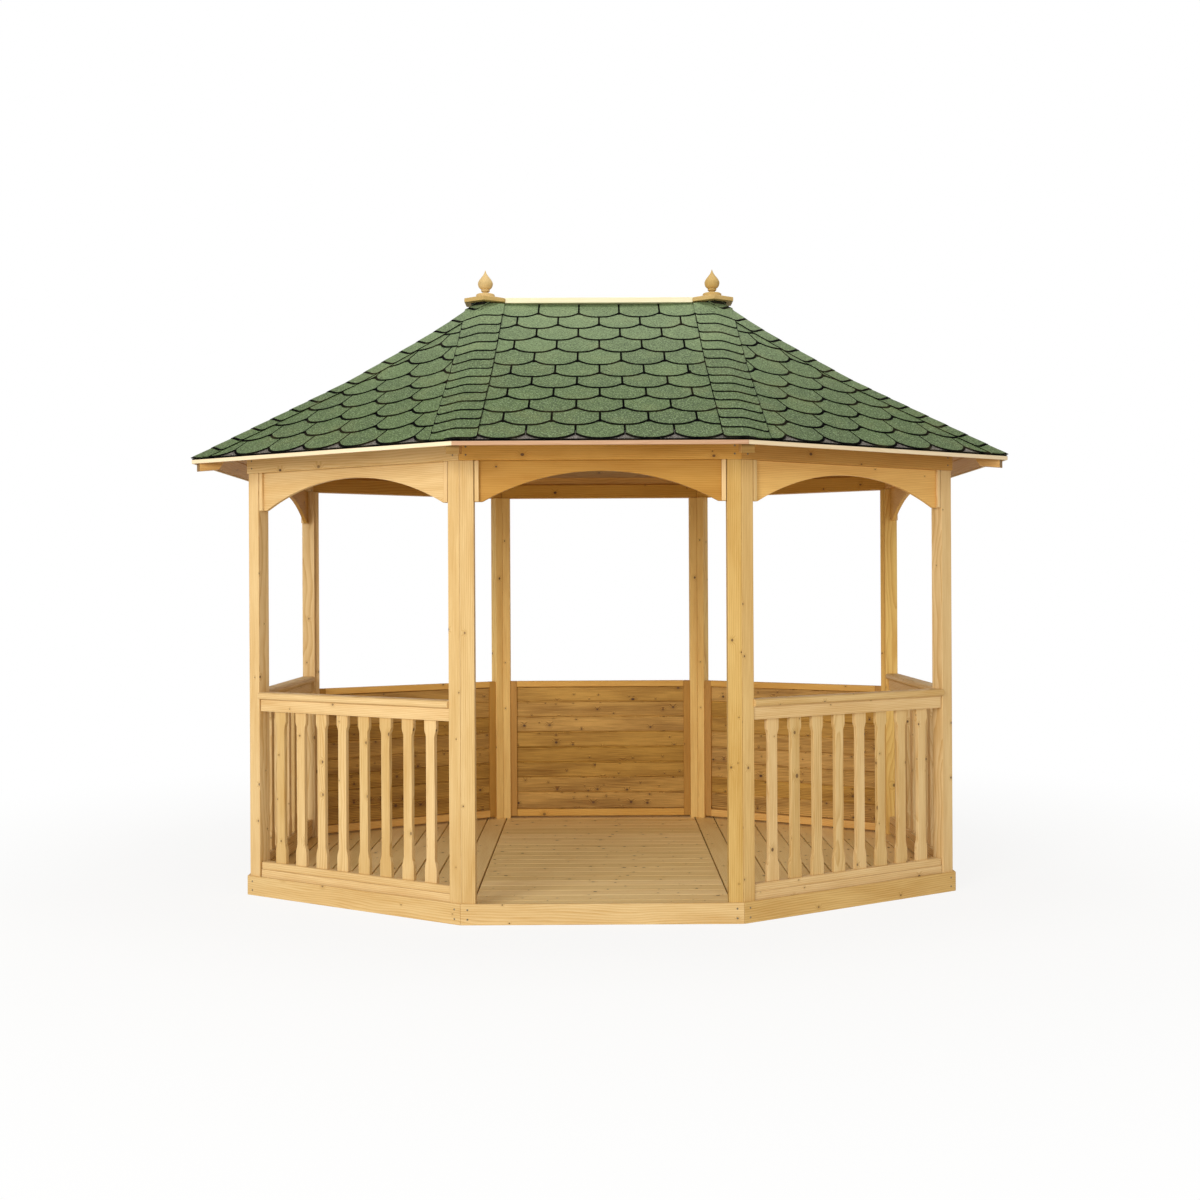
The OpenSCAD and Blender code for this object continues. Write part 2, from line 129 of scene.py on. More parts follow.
# Walls whose plates, and arches unless they take the deepest shade, keep the plain pine where the key lamp
# reaches; walls whose arches and walls whose plates take the deepest painted shade. Other plates and arches
# take a lighter painted shade.
LIT_WALLS = (Side.LEFT, Side.FRONT_LEFT)
DEEP_SHADE_ARCHES = (Side.FRONT, Side.LEFT)
DEEP_SHADE_PLATES = (Side.FRONT_RIGHT, Side.BACK_LEFT)
# The posts round from the front left with the seeds of their figure, and those given a brighter pine as
# painted light and a darker pine as painted shade.
POSTS = {"front_left": 337, "front_right": 369, "right_front": 268, "right_back": 491,
         "back_right": 475, "back_left": 475, "left_back": 477, "left_front": 236}
LIT_POSTS = ("right_back", "back_right", "back_left")
SHADED_POSTS = ("front_right",)


@dataclass(frozen=True)
class Plan:
    """The elongated hexagon, its walls and the planes of its roof."""

    hex_r: float = 1.2
    mid_w: float = 1.184
    wall_d: float = 0.012
    post_w: float = 0.060
    post_t: float = 0.066
    gap: float = 0.0006
    floor_z: float = 0.055
    plate_z: float = 1.937
    plate_h: float = 0.077
    plate_d: float = 0.005
    ring_h: float = 0.043
    hip_h: float = 0.046
    deck_v: float = 0.020
    eave_r: float = 1.444
    trim_t: float = 0.012
    peak_in: float = 0.020
    roof_dip: float = 0.030
    pitch: float = math.radians(30.365)

    CORNERS = ((-1, -1, 0), (1, -1, 0), (1, -1, 1), (1, 1, 1),
               (1, 1, 0), (-1, 1, 0), (-1, 1, 1), (-1, -1, 1))

    @property
    def inner_d(self) -> float:
        """Depth of the inner face of the posts behind the skirting face."""
        return self.wall_d + self.post_t

    @property
    def deck_r(self) -> float:
        """Corner radius of the roof deck."""
        return self.eave_r - self.trim_t

    @property
    def ridge_x(self) -> float:
        """Distance of a roof peak from the middle."""
        return self.mid_w / 2 - self.peak_in

    @property
    def slope_front(self) -> float:
        """Rise of the front plane over its run."""
        return math.tan(self.pitch)

    @property
    def rise(self) -> float:
        """Height of the ridge over the eaves."""
        return self.slope_front * self.eave_r

    @property
    def slope_end(self) -> float:
        """Rise of the end planes over their run."""
        reach = self.mid_w / 2 + self.eave_r * math.cos(math.radians(30))
        return self.rise / (reach - self.ridge_x)

    @property
    def ridge_z(self) -> float:
        """Works out the height of the deck top along the ridge.

        Returns:
            The height at which the rafters rest on the ring beam.
        """
        run = self.mid_w / 2 + self.hex_r * math.cos(math.radians(30)) - self.plate_d - self.ridge_x
        drop = max(self.slope_front * (self.hex_r - self.plate_d), self.slope_end * run)
        seat = self.plate_z + self.plate_h + self.ring_h
        return seat + self.hip_h + self.deck_v + drop + self.dip(drop)

    def corner(self, i: int, inset: float = 0.0, radius: float | None = None) -> Vector:
        """Finds a corner of the plan.

        Args:
            i: Corner number, counted round from the front left.
            inset: How far the walls are set in.
            radius: Corner radius of the half hexagons, the skirting's if left out.

        Returns:
            The corner on plan.
        """
        r = self.hex_r if radius is None else radius
        sx, sy, end = self.CORNERS[i % 8]
        if end:
            return Vector((sx * (self.mid_w / 2 + r * math.cos(math.radians(30)) - inset),
                           sy * (r / 2 - inset * math.tan(math.radians(30)))))
        return Vector((sx * (self.mid_w / 2 - inset * math.tan(math.radians(15))), sy * (r - inset)))

    def mitre(self, i: int) -> float:
        """Tangent of the mitre angle at a corner."""
        return math.tan(math.radians(30 if self.CORNERS[i % 8][2] else 15))

    def length(self, i: int) -> float:
        """Length of a wall outside the skirting."""
        return (self.corner(i + 1) - self.corner(i)).length

    def start(self, i: int, depth: float) -> float:
        """Start of a wall at a depth behind the skirting face."""
        return -self.length(i) / 2 + depth * self.mitre(i)

    def stop(self, i: int, depth: float) -> float:
        """End of a wall at a depth behind the skirting face."""
        return self.length(i) / 2 - depth * self.mitre(i + 1)

    def span(self, i: int) -> tuple[float, float]:
        """Clear span between the posts of a wall."""
        return (self.start(i, self.wall_d) + self.post_w, self.stop(i, self.wall_d) - self.post_w)

    def place(self, i: int, radius: float | None = None) -> Matrix:
        """Builds the frame of a wall.

        Args:
            i: Wall number.
            radius: Corner radius of the outline the frame sits on.

        Returns:
            A matrix with x along the wall, y inwards and z up.
        """
        p, q = self.corner(i, 0.0, radius), self.corner(i + 1, 0.0, radius)
        mid, run = (p + q) / 2, q - p
        return Matrix.Translation((mid.x, mid.y, 0.0)) @ Matrix.Rotation(math.atan2(run.y, run.x), 4, "Z")

    def peak(self, i: int) -> Vector:
        """The roof peak that a corner's hip rises to, on plan."""
        return Vector((self.CORNERS[i % 8][0] * self.ridge_x, 0.0))

    def dip(self, fall: float) -> float:
        """Plumb dip of the roof below a flat plane that has fallen so far from the ridge."""
        return self.roof_dip * (1 - abs(2 * fall / self.rise - 1))

    def fall(self, x: float, y: float) -> float:
        """Works out how far the flat roof planes have fallen from the ridge.

        Args:
            x: The point on plan, along the ridge.
            y: The point on plan, across the ridge.

        Returns:
            The fall at that point.
        """
        px, py = abs(x) - self.ridge_x, abs(y)
        reach = self.mid_w / 2 + self.eave_r * math.cos(math.radians(30)) - self.ridge_x
        slope_x = self.rise / 2 / (reach - self.peak_in / 2)
        slope_y = (self.rise - slope_x * self.peak_in) / self.eave_r
        return max(self.slope_front * py, slope_x * px + slope_y * py, self.slope_end * px)

    def on_plane(self, p: Vector) -> Vector:
        """Lifts a point on plan to the flat roof planes."""
        return Vector((p.x, p.y, self.ridge_z - self.fall(p.x, p.y)))

    def settle(self, p: Vector) -> Vector:
        """Lowers a point over the flat roof planes by the dip of the real deck."""
        return Vector((p.x, p.y, p.z - self.dip(self.fall(p.x, p.y))))


PLAN = Plan()


def clip(poly: Outline, window: Outline) -> Outline:
    """Clips an outline to a convex window.

    Args:
        poly: The outline, counter-clockwise.
        window: The convex window, counter-clockwise.

    Returns:
        The part of the outline inside the window.
    """
    out = poly
    for k, a in enumerate(window):
        b = window[(k + 1) % len(window)]
        side = [(b[0] - a[0]) * (p[1] - a[1]) - (b[1] - a[1]) * (p[0] - a[0]) for p in out]
        kept: Outline = []
        for j, p in enumerate(out):
            q, sp, sq = out[(j + 1) % len(out)], side[j], side[(j + 1) % len(out)]
            if sp >= 0:
                kept.append(p)
            if (sp >= 0) != (sq >= 0):
                t = sp / (sp - sq)
                kept.append((p[0] + (q[0] - p[0]) * t, p[1] + (q[1] - p[1]) * t))
        out = kept
        if len(out) < 3:
            return []
    clean: Outline = []
    for p in out:
        if not clean or math.dist(p, clean[-1]) > WELD:
            clean.append(p)
    if len(clean) > 2 and math.dist(clean[0], clean[-1]) < WELD:
        clean.pop()
    return clean if len(clean) > 2 else []


def rectangle(x0: float, y0: float, x1: float, y1: float) -> Outline:
    """Outline of a rectangle, counter-clockwise."""
    return [(x0, y0), (x1, y0), (x1, y1), (x0, y1)]


def bar_outline(i: int, depth: float, thick: float) -> Outline:
    """Outline of a mitred bar along a wall.

    Args:
        i: Wall number.
        depth: Depth of its outer face behind the skirting face.
        thick: Its thickness.

    Returns:
        The outline on plan, in the wall's frame.
    """
    gap, far = PLAN.gap / 2, depth + thick
    return [(PLAN.start(i, depth) + gap, depth), (PLAN.stop(i, depth) - gap, depth),
            (PLAN.stop(i, far) - gap, far), (PLAN.start(i, far) + gap, far)]


def lathe(profile: Outline, steps: int, start: float = 0.0) -> bmesh.types.BMesh:
    """Turns a profile about the z axis.

    Args:
        profile: Radius and height of each ring, from below. A last radius of 0 ends in a point.
        steps: Points round a ring.
        start: Angle of the first point.

    Returns:
        The closed solid.
    """
    bm = bmesh.new()
    turns = [start + 2 * math.pi * k / steps for k in range(steps)]
    pointed = profile[-1][0] == 0.0
    rings = [[bm.verts.new((r * math.cos(t), r * math.sin(t), z)) for t in turns]
             for r, z in (profile[:-1] if pointed else profile)]
    bm.faces.new(list(reversed(rings[0])))
    for a, b in zip(rings, rings[1:]):
        for k in range(steps):
            bm.faces.new((a[k], a[(k + 1) % steps], b[(k + 1) % steps], b[k]))
    if pointed:
        tip = bm.verts.new((0.0, 0.0, profile[-1][1]))
        for k in range(steps):
            bm.faces.new((rings[-1][k], rings[-1][(k + 1) % steps], tip))
    else:
        bm.faces.new(rings[-1])
    bm.normal_update()
    return bm


def ease_edges(bm: bmesh.types.BMesh, edges: list[bmesh.types.BMEdge], width: float) -> None:
    """Rounds edges of a board a little.

    Args:
        bm: The board.
        edges: The edges to round.
        width: How far the rounding reaches into each face.
    """
    bmesh.ops.bevel(bm, geom=edges, offset=width, offset_type="OFFSET", segments=2, profile=0.5,
                    affect="EDGES", clamp_overlap=True)


UPRIGHT = Matrix(((1, 0, 0, 0), (0, 0, -1, 0), (0, 1, 0, 0), (0, 0, 0, 1)))
LENGTHWISE = Matrix(((0, 0, 1, 0), (1, 0, 0, 0), (0, 1, 0, 0), (0, 0, 0, 1)))


@dataclass
class Stock:
    """Collects boards into one mesh, with a grain frame and a tone for every board."""

    seed: int
    points: list[Vector] = field(default_factory=list)
    faces: list[tuple[int, ...]] = field(default_factory=list)
    slots: list[int] = field(default_factory=list)
    grain: list[Place] = field(default_factory=list)
    tone: list[float] = field(default_factory=list)

    def __post_init__(self) -> None:
        """Seeds the board to board differences."""
        self.rng = random.Random(self.seed)

    def take(self, bm: bmesh.types.BMesh, place: Matrix, grain: Grain, slot: int = 0) -> None:
        """Adds one board and frees its bmesh.

        Args:
            bm: The board in its own frame.
            place: Where the board goes.
            grain: The axis its grain follows.
            slot: The material slot of its faces.
        """
        tone = self.rng.uniform(-1.0, 1.0)
        shift = Vector(self.rng.uniform(*PITH) for _ in range(3))
        shift[grain.value] = self.rng.uniform(0.0, TRUNK)
        base = len(self.points)
        bm.verts.index_update()
        bm.normal_update()
        for v in bm.verts:
            self.points.append(place @ v.co)
            self.tone.append(tone)
        for f in bm.faces:
            self.faces.append(tuple(base + v.index for v in f.verts))
            self.grain += [grain.order(v.co + shift, f.normal) for v in f.verts]
            self.slots.append(slot)
        bm.free()

    def loft(self, rings: Sequence[Sequence[Vector]], tone: float, slot: int = 0,
             marks: Sequence[Sequence[Place]] | None = None) -> None:
        """Adds a closed solid through rings of points, the first one counter-clockwise from outside.

        Args:
            rings: The rings, each with as many points.
            tone: Its tone.
            slot: The material slot of its faces.
            marks: Where each point lies along, across and through the grain. Felt has none.
        """
        n, base = len(rings[0]), len(self.points)
        last = base + n * (len(rings) - 1)
        self.points += [p for ring in rings for p in ring]
        self.tone += [tone] * (n * len(rings))
        faces = [tuple(range(base, base + n)), tuple(range(last + n - 1, last - 1, -1))]
        for row in range(base, last, n):
            faces += [(row + k, row + n + k, row + n + (k + 1) % n, row + (k + 1) % n) for k in range(n)]
        self.faces += faces
        self.slots += [slot] * len(faces)
        spots = [m for ring in marks for m in ring] if marks else [(0.0, 0.0, 0.0)] * (n * len(rings))
        self.grain += [spots[v - base] for f in faces for v in f]

    def prism(self, outline: Outline, depth: float, place: Matrix, grain: Grain,
              edge: float = 0.002, slot: int = 0) -> None:
        """Adds a board with eased edges, drawn as an outline and pushed out along its z.

        Args:
            outline: The outline in the board's xy plane, counter-clockwise.
            depth: How far it is pushed out.
            place: Where the board goes.
            grain: The axis its grain follows.
            edge: Width of the eased edges.
            slot: The material slot of its faces.
        """
        bm = bmesh.new()
        low = [bm.verts.new((x, y, 0.0)) for x, y in outline]
        top = [bm.verts.new((x, y, depth)) for x, y in outline]
        n = len(outline)
        bm.faces.new(list(reversed(low)))
        bm.faces.new(top)
        for k in range(n):
            bm.faces.new((low[k], low[(k + 1) % n], top[(k + 1) % n], top[k]))
        bm.normal_update()
        if edge > 0:
            ease_edges(bm, [e for e in bm.edges if e.calc_face_angle(0.0) > BEVELLED], edge)
        self.take(bm, place, grain, slot)

    def make(self, name: str, finishes: Sequence[bpy.types.Material], slot: str,
             nodes: Sequence[str] = (), smooth: bool = False) -> bpy.types.Object:
        """Turns the boards into one piece of the gazebo.

        Args:
            name: Name of the piece.
            finishes: Its materials, in slot order.
            slot: The record's material slot; not used.
            nodes: CAD nodes that the piece stands for.
            smooth: Whether its faces are shaded smooth.

        Returns:
            The new object.
        """
        mesh = bpy.data.meshes.new(name)
        mesh.from_pydata([tuple(p) for p in self.points], [], self.faces)
        for m in finishes:
            mesh.materials.append(m)
        mesh.polygons.foreach_set("material_index", self.slots)
        grain = mesh.attributes.new("grain", "FLOAT_VECTOR", "CORNER")
        grain.data.foreach_set("vector", [c for g in self.grain for c in g])
        tone = mesh.attributes.new("tone", "FLOAT", "POINT")
        tone.data.foreach_set("value", self.tone)
        mesh.polygons.foreach_set("use_smooth", [smooth] * len(mesh.polygons))
        if smooth:
            mesh.set_sharp_from_angle(angle=CREASED)
        mesh.update()
        piece = bpy.data.objects.new(name, mesh)
        bpy.context.scene.collection.objects.link(piece)
        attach(piece, BODY)
        if nodes:
            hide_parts(*nodes)
        LOG.info("%s: %d faces", name, len(mesh.polygons))
        return piece


Socket = bpy.types.NodeSocket
Value = Socket | float | tuple


@dataclass
class Graph:
    """Writes shader nodes in few words."""

    tree: bpy.types.NodeTree

    def node(self, kind: str, **values: object) -> bpy.types.Node:
        """Adds a node.

        Args:
            kind: Its type.
            **values: Properties to set on it.

        Returns:
            The node.
        """
        made = self.tree.nodes.new(kind)
        for key, value in values.items():
            setattr(made, key, value)
        return made

    def feed(self, socket: Socket, value: Value) -> None:
        """Links or sets an input.

        Args:
            socket: The input.
            value: An output to link to it, or its constant.
        """
        if isinstance(value, bpy.types.NodeSocket):
            self.tree.links.new(value, socket)
        else:
            socket.default_value = value

    def fill(self, made: bpy.types.Node, *values: Value) -> bpy.types.Node:
        """Feeds the first inputs of a node.

        Args:
            made: The node.
            *values: What its inputs take, in order.

        Returns:
            The node.
        """
        for socket, value in zip(made.inputs, values):
            self.feed(socket, value)
        return made

    def math(self, op: str, a: Value, b: Value = 0.0, c: Value = 0.0, clamp: bool = False) -> Socket:
        """Adds a Math node.

        Args:
            op: Its operation.
            a: First value.
            b: Second value.
            c: Third value.
            clamp: Whether the result is held to 0..1.

        Returns:
            Its output.
        """
        return self.fill(self.node("ShaderNodeMath", operation=op, use_clamp=clamp), a, b, c).outputs[0]

    def sway(self, noise: Value, amount: float, base: Value) -> Socket:
        """Moves a base value up and down with a noise of 0..1."""
        return self.math("MULTIPLY_ADD", self.math("SUBTRACT", noise, 0.5), amount, base)

    def hypot(self, a: Value, b: Value) -> Socket:
        """Length of a vector across two axes."""
        return self.math("SQRT", self.math("ADD", self.math("MULTIPLY", a, a), self.math("MULTIPLY", b, b)))

    def vector(self, op: str, *values: Value) -> bpy.types.Node:
        """Adds a Vector Math node and returns it."""
        return self.fill(self.node("ShaderNodeVectorMath", operation=op), *values)

    def join(self, x: Value, y: Value, z: Value) -> Socket:
        """Joins three values into a vector."""
        return self.fill(self.node("ShaderNodeCombineXYZ"), x, y, z).outputs[0]

    def split(self, vector: Value) -> tuple[Socket, Socket, Socket]:
        """Splits a vector into its three values."""
        made = self.fill(self.node("ShaderNodeSeparateXYZ"), vector)
        return made.outputs[0], made.outputs[1], made.outputs[2]

    def noise(self, vector: Value, scale: float, detail: float = 2.0) -> Socket:
        """Adds a noise texture.

        Args:
            vector: Where it is read.
            scale: Its scale.
            detail: Its octaves.

        Returns:
            Its value of 0..1.
        """
        made = self.node("ShaderNodeTexNoise")
        self.feed(made.inputs["Vector"], vector)
        made.inputs["Scale"].default_value = scale
        made.inputs["Detail"].default_value = detail
        return made.outputs[0]

    def ease(self, value: Value, a: Value, b: Value, low: float = 0.0, high: float = 1.0) -> Socket:
        """Maps a value smoothly from a..b to low..high."""
        made = self.node("ShaderNodeMapRange", interpolation_type="SMOOTHSTEP")
        return self.fill(made, value, a, b, low, high).outputs[0]

    def mix(self, share: Value, a: Value, b: Value) -> Socket:
        """Mixes two colours.

        Args:
            share: Share of the second colour.
            a: First colour.
            b: Second colour.

        Returns:
            The mixed colour.
        """
        made = self.node("ShaderNodeMix", data_type="RGBA")
        self.feed(made.inputs["Factor"], share)
        self.feed(made.inputs[6], a)
        self.feed(made.inputs[7], b)
        return made.outputs[2]

    def shade(self, colour: Value, value: Value, saturation: Value = 1.0) -> Socket:
        """Changes the brightness and strength of a colour.

        Args:
            colour: The colour.
            value: Factor on its brightness.
            saturation: Factor on its strength.

        Returns:
            The changed colour.
        """
        made = self.node("ShaderNodeHueSaturation")
        self.feed(made.inputs["Color"], colour)
        self.feed(made.inputs["Value"], value)
        self.feed(made.inputs["Saturation"], saturation)
        return made.outputs[0]

    def carried(self, name: str, output: str) -> Socket:
        """Reads what the boards and tabs carry in their mesh."""
        return self.node("ShaderNodeAttribute", attribute_name=name).outputs[output]

    def bump(self, height: Value, strength: float, distance: float) -> Socket:
        """Turns a height into a normal.

        Args:
            height: The height.
            strength: Strength of the bump.
            distance: What a height of 1 stands for.

        Returns:
            The normal.
        """
        made = self.node("ShaderNodeBump")
        made.inputs["Strength"].default_value = strength
        made.inputs["Distance"].default_value = distance
        self.feed(made.inputs["Height"], height)
        return made.outputs[0]

    def seen(self) -> Socket:
        """Marks the rays that show the backdrop.

        Returns:
            A mask of the rays from the camera, in mirrors and through glass.
        """
        path = self.node("ShaderNodeLightPath").outputs
        through = self.math("MAXIMUM", path["Is Glossy Ray"], path["Is Transmission Ray"])
        return self.math("MAXIMUM", path["Is Camera Ray"], through)


def new_material(name: str) -> tuple[bpy.types.Material, Graph, bpy.types.NodeInputs]:
    """Starts a material.

    Args:
        name: Name of the material.

    Returns:
        The material, its graph and the inputs of its shader.
    """
    mat = bpy.data.materials.new(name)
    mat.use_nodes = True
    return mat, Graph(mat.node_tree), mat.node_tree.nodes["Principled BSDF"].inputs


@dataclass
class Group:
    """A shader node group while it is being written.

    Attributes:
        name: Name of the group.
        takes: Inputs by name, with the short name of their kind.
        gives: Outputs by name, with the short name of their kind.
    """

    name: str
    takes: dict[str, str]
    gives: dict[str, str]

    def __post_init__(self) -> None:
        """Makes the group's sockets."""
        self.tree = bpy.data.node_groups.new(self.name, "ShaderNodeTree")
        for way, sockets in (("INPUT", self.takes), ("OUTPUT", self.gives)):
            for key, kind in sockets.items():
                self.tree.interface.new_socket(key, in_out=way, socket_type="NodeSocket" + kind)
        self.graph = Graph(self.tree)
        self.source = self.graph.node("NodeGroupInput")
        self.sink = self.graph.node("NodeGroupOutput")

    def read(self, key: str) -> Socket:
        """Returns an input of the group."""
        return self.source.outputs[key]

    def give(self, key: str, value: Socket) -> None:
        """Feeds an output of the group."""
        self.tree.links.new(value, self.sink.inputs[key])


class Effects:
    """The shader groups that several finishes share."""

    # Noise drawn out along the grain: its counts in a metre along and across it, and its octaves.
    DRIFT = (1.3, 4.0, 2.0)
    WOBBLE = (5.0, 40.0, 2.0)
    FIBRE = (9.0, 330.0, 3.0)
    BLOTCH = (2.2, 16.0, 3.0)
    # How far they move the pith and the rings, and their shares of the figure beside the late wood.
    PITH_DRIFT = 0.09
    RING_WOBBLE = 0.006
    LATE_SHARE = 0.62
    FIBRE_SHARE = 0.7
    BLOTCH_SHARE = 1.1
    EARLY_WOOD = 0.12
    # Knots: rows in a metre across, least radius and what is added to it, stretch along the grain.
    KNOT_ROWS = 14.0
    KNOT_R = (0.0022, 0.0052)
    KNOT_STRETCH = 0.8
    # Where a knot and its halo fade, as shares of the radius, and what the halo does to rings and colour.
    KNOT_FADE = (1.25, 0.75)
    HALO_FADE = (4.5, 0.8)
    HALO_RINGS = 1.6
    HALO_SHARE = 0.38
    HALO_SHADE = 0.85
    # How a board's tone changes its brightness and strength of colour.
    TONE_VALUE = 0.085
    TONE_STRENGTH = -0.05
    # Plain solids: stretch of the figure up a face, depth of the pith, normals of their sawn ends.
    FACE_STRETCH = 0.32
    FACE_DEPTH = 0.05
    SKEW_ENDS = (0.80, 0.93)
    STRAIGHT_ENDS = 0.97
    # Felt: scale and octaves of its granules and patches, and how far each changes the brightness.
    FINE = (420.0, 1.0)
    GRIT = (130.0, 2.0)
    PATCH = (7.0, 3.0)
    SPECK = (160.0, 1.0)
    FINE_SHARE = 2.0
    GRIT_SHARE = 2.6
    PATCH_SHARE = 0.35
    # Earthy patches, pale specks and the painted sheen that makes the top of the roof paler: where they
    # begin and end, and their look.
    EARTH = (0.30, 0.25, 0.11, 1.0)
    EARTH_SHARE = 0.10
    EARTH_FADE = (0.45, 0.75)
    SPECK_FADE = (0.55, 0.67, 0.0, 0.8)
    SPECK_SHADE = (3.4, 0.72)
    SHEEN_FADE = (2.15, 2.85, 0.0, 0.42)
    SHEEN_SHADE = (3.2, 0.62)

    def __init__(self) -> None:
        """Builds each group once."""
        self.timber = self._timber()
        self.faces = self._faces()
        self.granules = self._granules()

    def _timber(self) -> bpy.types.NodeTree:
        """Builds sawn pine: growth rings round a wandering pith, fibre, knots and board tone.

        Returns:
            The group.
        """
        group = Group(
            "Sawn pine",
            {"Grain": "Vector", "Tone": "Float", "Light": "Color", "Dark": "Color", "Knot": "Color",
             "Ring": "Float", "Knots": "Float", "Spacing": "Float", "Contrast": "Float"},
            {"Color": "Color", "Roughness": "Float", "Height": "Float"})
        g, read = group.graph, group.read
        along, across, through = g.split(read("Grain"))

        def streaks(length: float, width: float, detail: float) -> Socket:
            """Noise drawn out along the grain."""
            counts = ((along, length), (across, width), (through, width))
            return g.noise(g.join(*(g.math("MULTIPLY", v, n) for v, n in counts)), 1.0, detail)

        pith = g.sway(streaks(*self.DRIFT), self.PITH_DRIFT, through)
        wobble = streaks(*self.WOBBLE)
        radius = g.math("MULTIPLY_ADD", wobble, self.RING_WOBBLE, g.hypot(across, pith))
        knot, halo, dim = self._knots(group, along, across)
        phase = g.math("MULTIPLY_ADD", halo, self.HALO_RINGS, g.math("DIVIDE", radius, read("Ring")))
        saw = g.math("FRACT", phase)
        late = g.math("MULTIPLY", g.math("POWER", saw, 2.0), g.ease(saw, 1.0, 0.9))
        fibre = streaks(*self.FIBRE)
        figure = g.sway(fibre, self.FIBRE_SHARE, self.EARLY_WOOD)
        figure = g.math("MULTIPLY_ADD", late, self.LATE_SHARE, figure)
        figure = g.sway(streaks(*self.BLOTCH), self.BLOTCH_SHARE, figure)
        figure = g.math("MULTIPLY", figure, read("Contrast"), clamp=True)
        colour = g.mix(figure, read("Light"), read("Dark"))
        ringed = g.math("MULTIPLY", halo, self.HALO_SHARE)
        colour = g.mix(ringed, colour, g.shade(read("Dark"), self.HALO_SHADE))
        strength = g.math("MULTIPLY", knot, g.math("MULTIPLY_ADD", dim, 0.4, 0.6))
        colour = g.mix(strength, colour, read("Knot"))
        colour = g.shade(colour, g.math("MULTIPLY_ADD", read("Tone"), self.TONE_VALUE, 1.0),
                         g.math("MULTIPLY_ADD", read("Tone"), self.TONE_STRENGTH, 1.0))
        group.give("Color", colour)
        polished = g.math("MULTIPLY_ADD", knot, -0.12, 0.5)
        group.give("Roughness", g.math("MULTIPLY_ADD", fibre, 0.22, polished))
        ridges = g.math("MULTIPLY_ADD", fibre, 0.6, knot)
        group.give("Height", g.math("MULTIPLY_ADD", late, 0.5, ridges))
        return group.tree

    def _knots(self, group: Group, along: Socket, across: Socket) -> tuple[Socket, Socket, Socket]:
        """Strews knots over the boards.

        Args:
            group: The group of the timber.
            along: Distance along the grain.
            across: Distance across the grain.

        Returns:
            A mask of the knots, one of the halo round them, and how dark the nearest knot is.
        """
        g, gap = group.graph, group.read("Spacing")
        place = g.join(g.math("DIVIDE", along, gap), g.math("MULTIPLY", across, self.KNOT_ROWS), 0.0)
        cells = g.node("ShaderNodeTexVoronoi", feature="F1", voronoi_dimensions="2D")
        g.feed(cells.inputs["Vector"], place)
        cells.inputs["Scale"].default_value = 1.0
        off = g.vector("SUBTRACT", place, cells.outputs["Position"])
        length, width, _ = g.split(off.outputs[0])
        length = g.math("MULTIPLY", g.math("MULTIPLY", length, gap), self.KNOT_STRETCH)
        near = g.hypot(length, g.math("MULTIPLY", width, 1.0 / self.KNOT_ROWS))
        chance, size, dim = g.split(cells.outputs["Color"])
        least, more = self.KNOT_R
        size = g.math("MULTIPLY_ADD", g.math("MULTIPLY", size, size), more, least)
        here = g.math("LESS_THAN", chance, group.read("Knots"))

        def spread(outer: float, inner: float) -> Socket:
            """Mask round a knot that fades from an inner to an outer share of its radius."""
            fade = g.ease(near, g.math("MULTIPLY", size, outer), g.math("MULTIPLY", size, inner))
            return g.math("MULTIPLY", here, fade)

        return spread(*self.KNOT_FADE), spread(*self.HALO_FADE), dim

    def _faces(self) -> bpy.types.NodeTree:
        """Builds a grain frame for plain solids whose long faces stand upright, and marks their sawn ends.

        Returns:
            The group.
        """
        group = Group("Face grain", {}, {"Grain": "Vector", "End": "Float"})
        g = group.graph
        spot = g.node("ShaderNodeNewGeometry").outputs
        turn = g.vector("CROSS_PRODUCT", (0.0, 0.0, 1.0), spot["True Normal"])
        level = g.vector("NORMALIZE", turn.outputs[0])
        run = g.vector("DOT_PRODUCT", spot["Position"], level.outputs[0])
        rise = g.math("MULTIPLY", g.split(spot["Position"])[2], self.FACE_STRETCH)
        group.give("Grain", g.join(run.outputs["Value"], rise, self.FACE_DEPTH))
        nx, ny = (g.math("ABSOLUTE", v) for v in g.split(spot["True Normal"])[:2])
        least, most = self.SKEW_ENDS
        skew = g.math("MULTIPLY", g.math("GREATER_THAN", nx, least), g.math("LESS_THAN", nx, most))
        group.give("End", g.math("MAXIMUM", skew, g.math("GREATER_THAN", ny, self.STRAIGHT_ENDS)))
        return group.tree

    def _granules(self) -> bpy.types.NodeTree:
        """Builds the mineral granules of roofing felt, with slow patches and a painted sheen that makes the
        top paler.

        Returns:
            The group.
        """
        group = Group("Felt granules", {"Base": "Color", "Tone": "Float", "Spread": "Float"},
                      {"Color": "Color", "Height": "Float"})
        g, base = group.graph, group.read("Base")
        spot = g.node("ShaderNodeTexCoord").outputs["Object"]
        fine, grit, patch = (g.noise(spot, *n) for n in (self.FINE, self.GRIT, self.PATCH))
        level = g.sway(grit, self.GRIT_SHARE, g.sway(fine, self.FINE_SHARE, 1.0))
        level = g.sway(patch, self.PATCH_SHARE, level)
        level = g.math("MULTIPLY_ADD", group.read("Tone"), group.read("Spread"), level)
        earthy = g.mix(self.EARTH_SHARE, base, self.EARTH)
        warm = g.mix(g.ease(patch, *self.EARTH_FADE), base, earthy)
        height = g.split(spot)[2]
        # painted sheen: the felt grows paler and greyer towards the ridge, by height
        sheen_top = g.mix(g.ease(height, *self.SHEEN_FADE), warm, g.shade(base, *self.SHEEN_SHADE))
        speck = g.ease(g.noise(spot, *self.SPECK), *self.SPECK_FADE)
        group.give("Color", g.mix(speck, g.shade(sheen_top, level), g.shade(base, *self.SPECK_SHADE)))
        group.give("Height", g.math("ADD", fine, grit))
        return group.tree


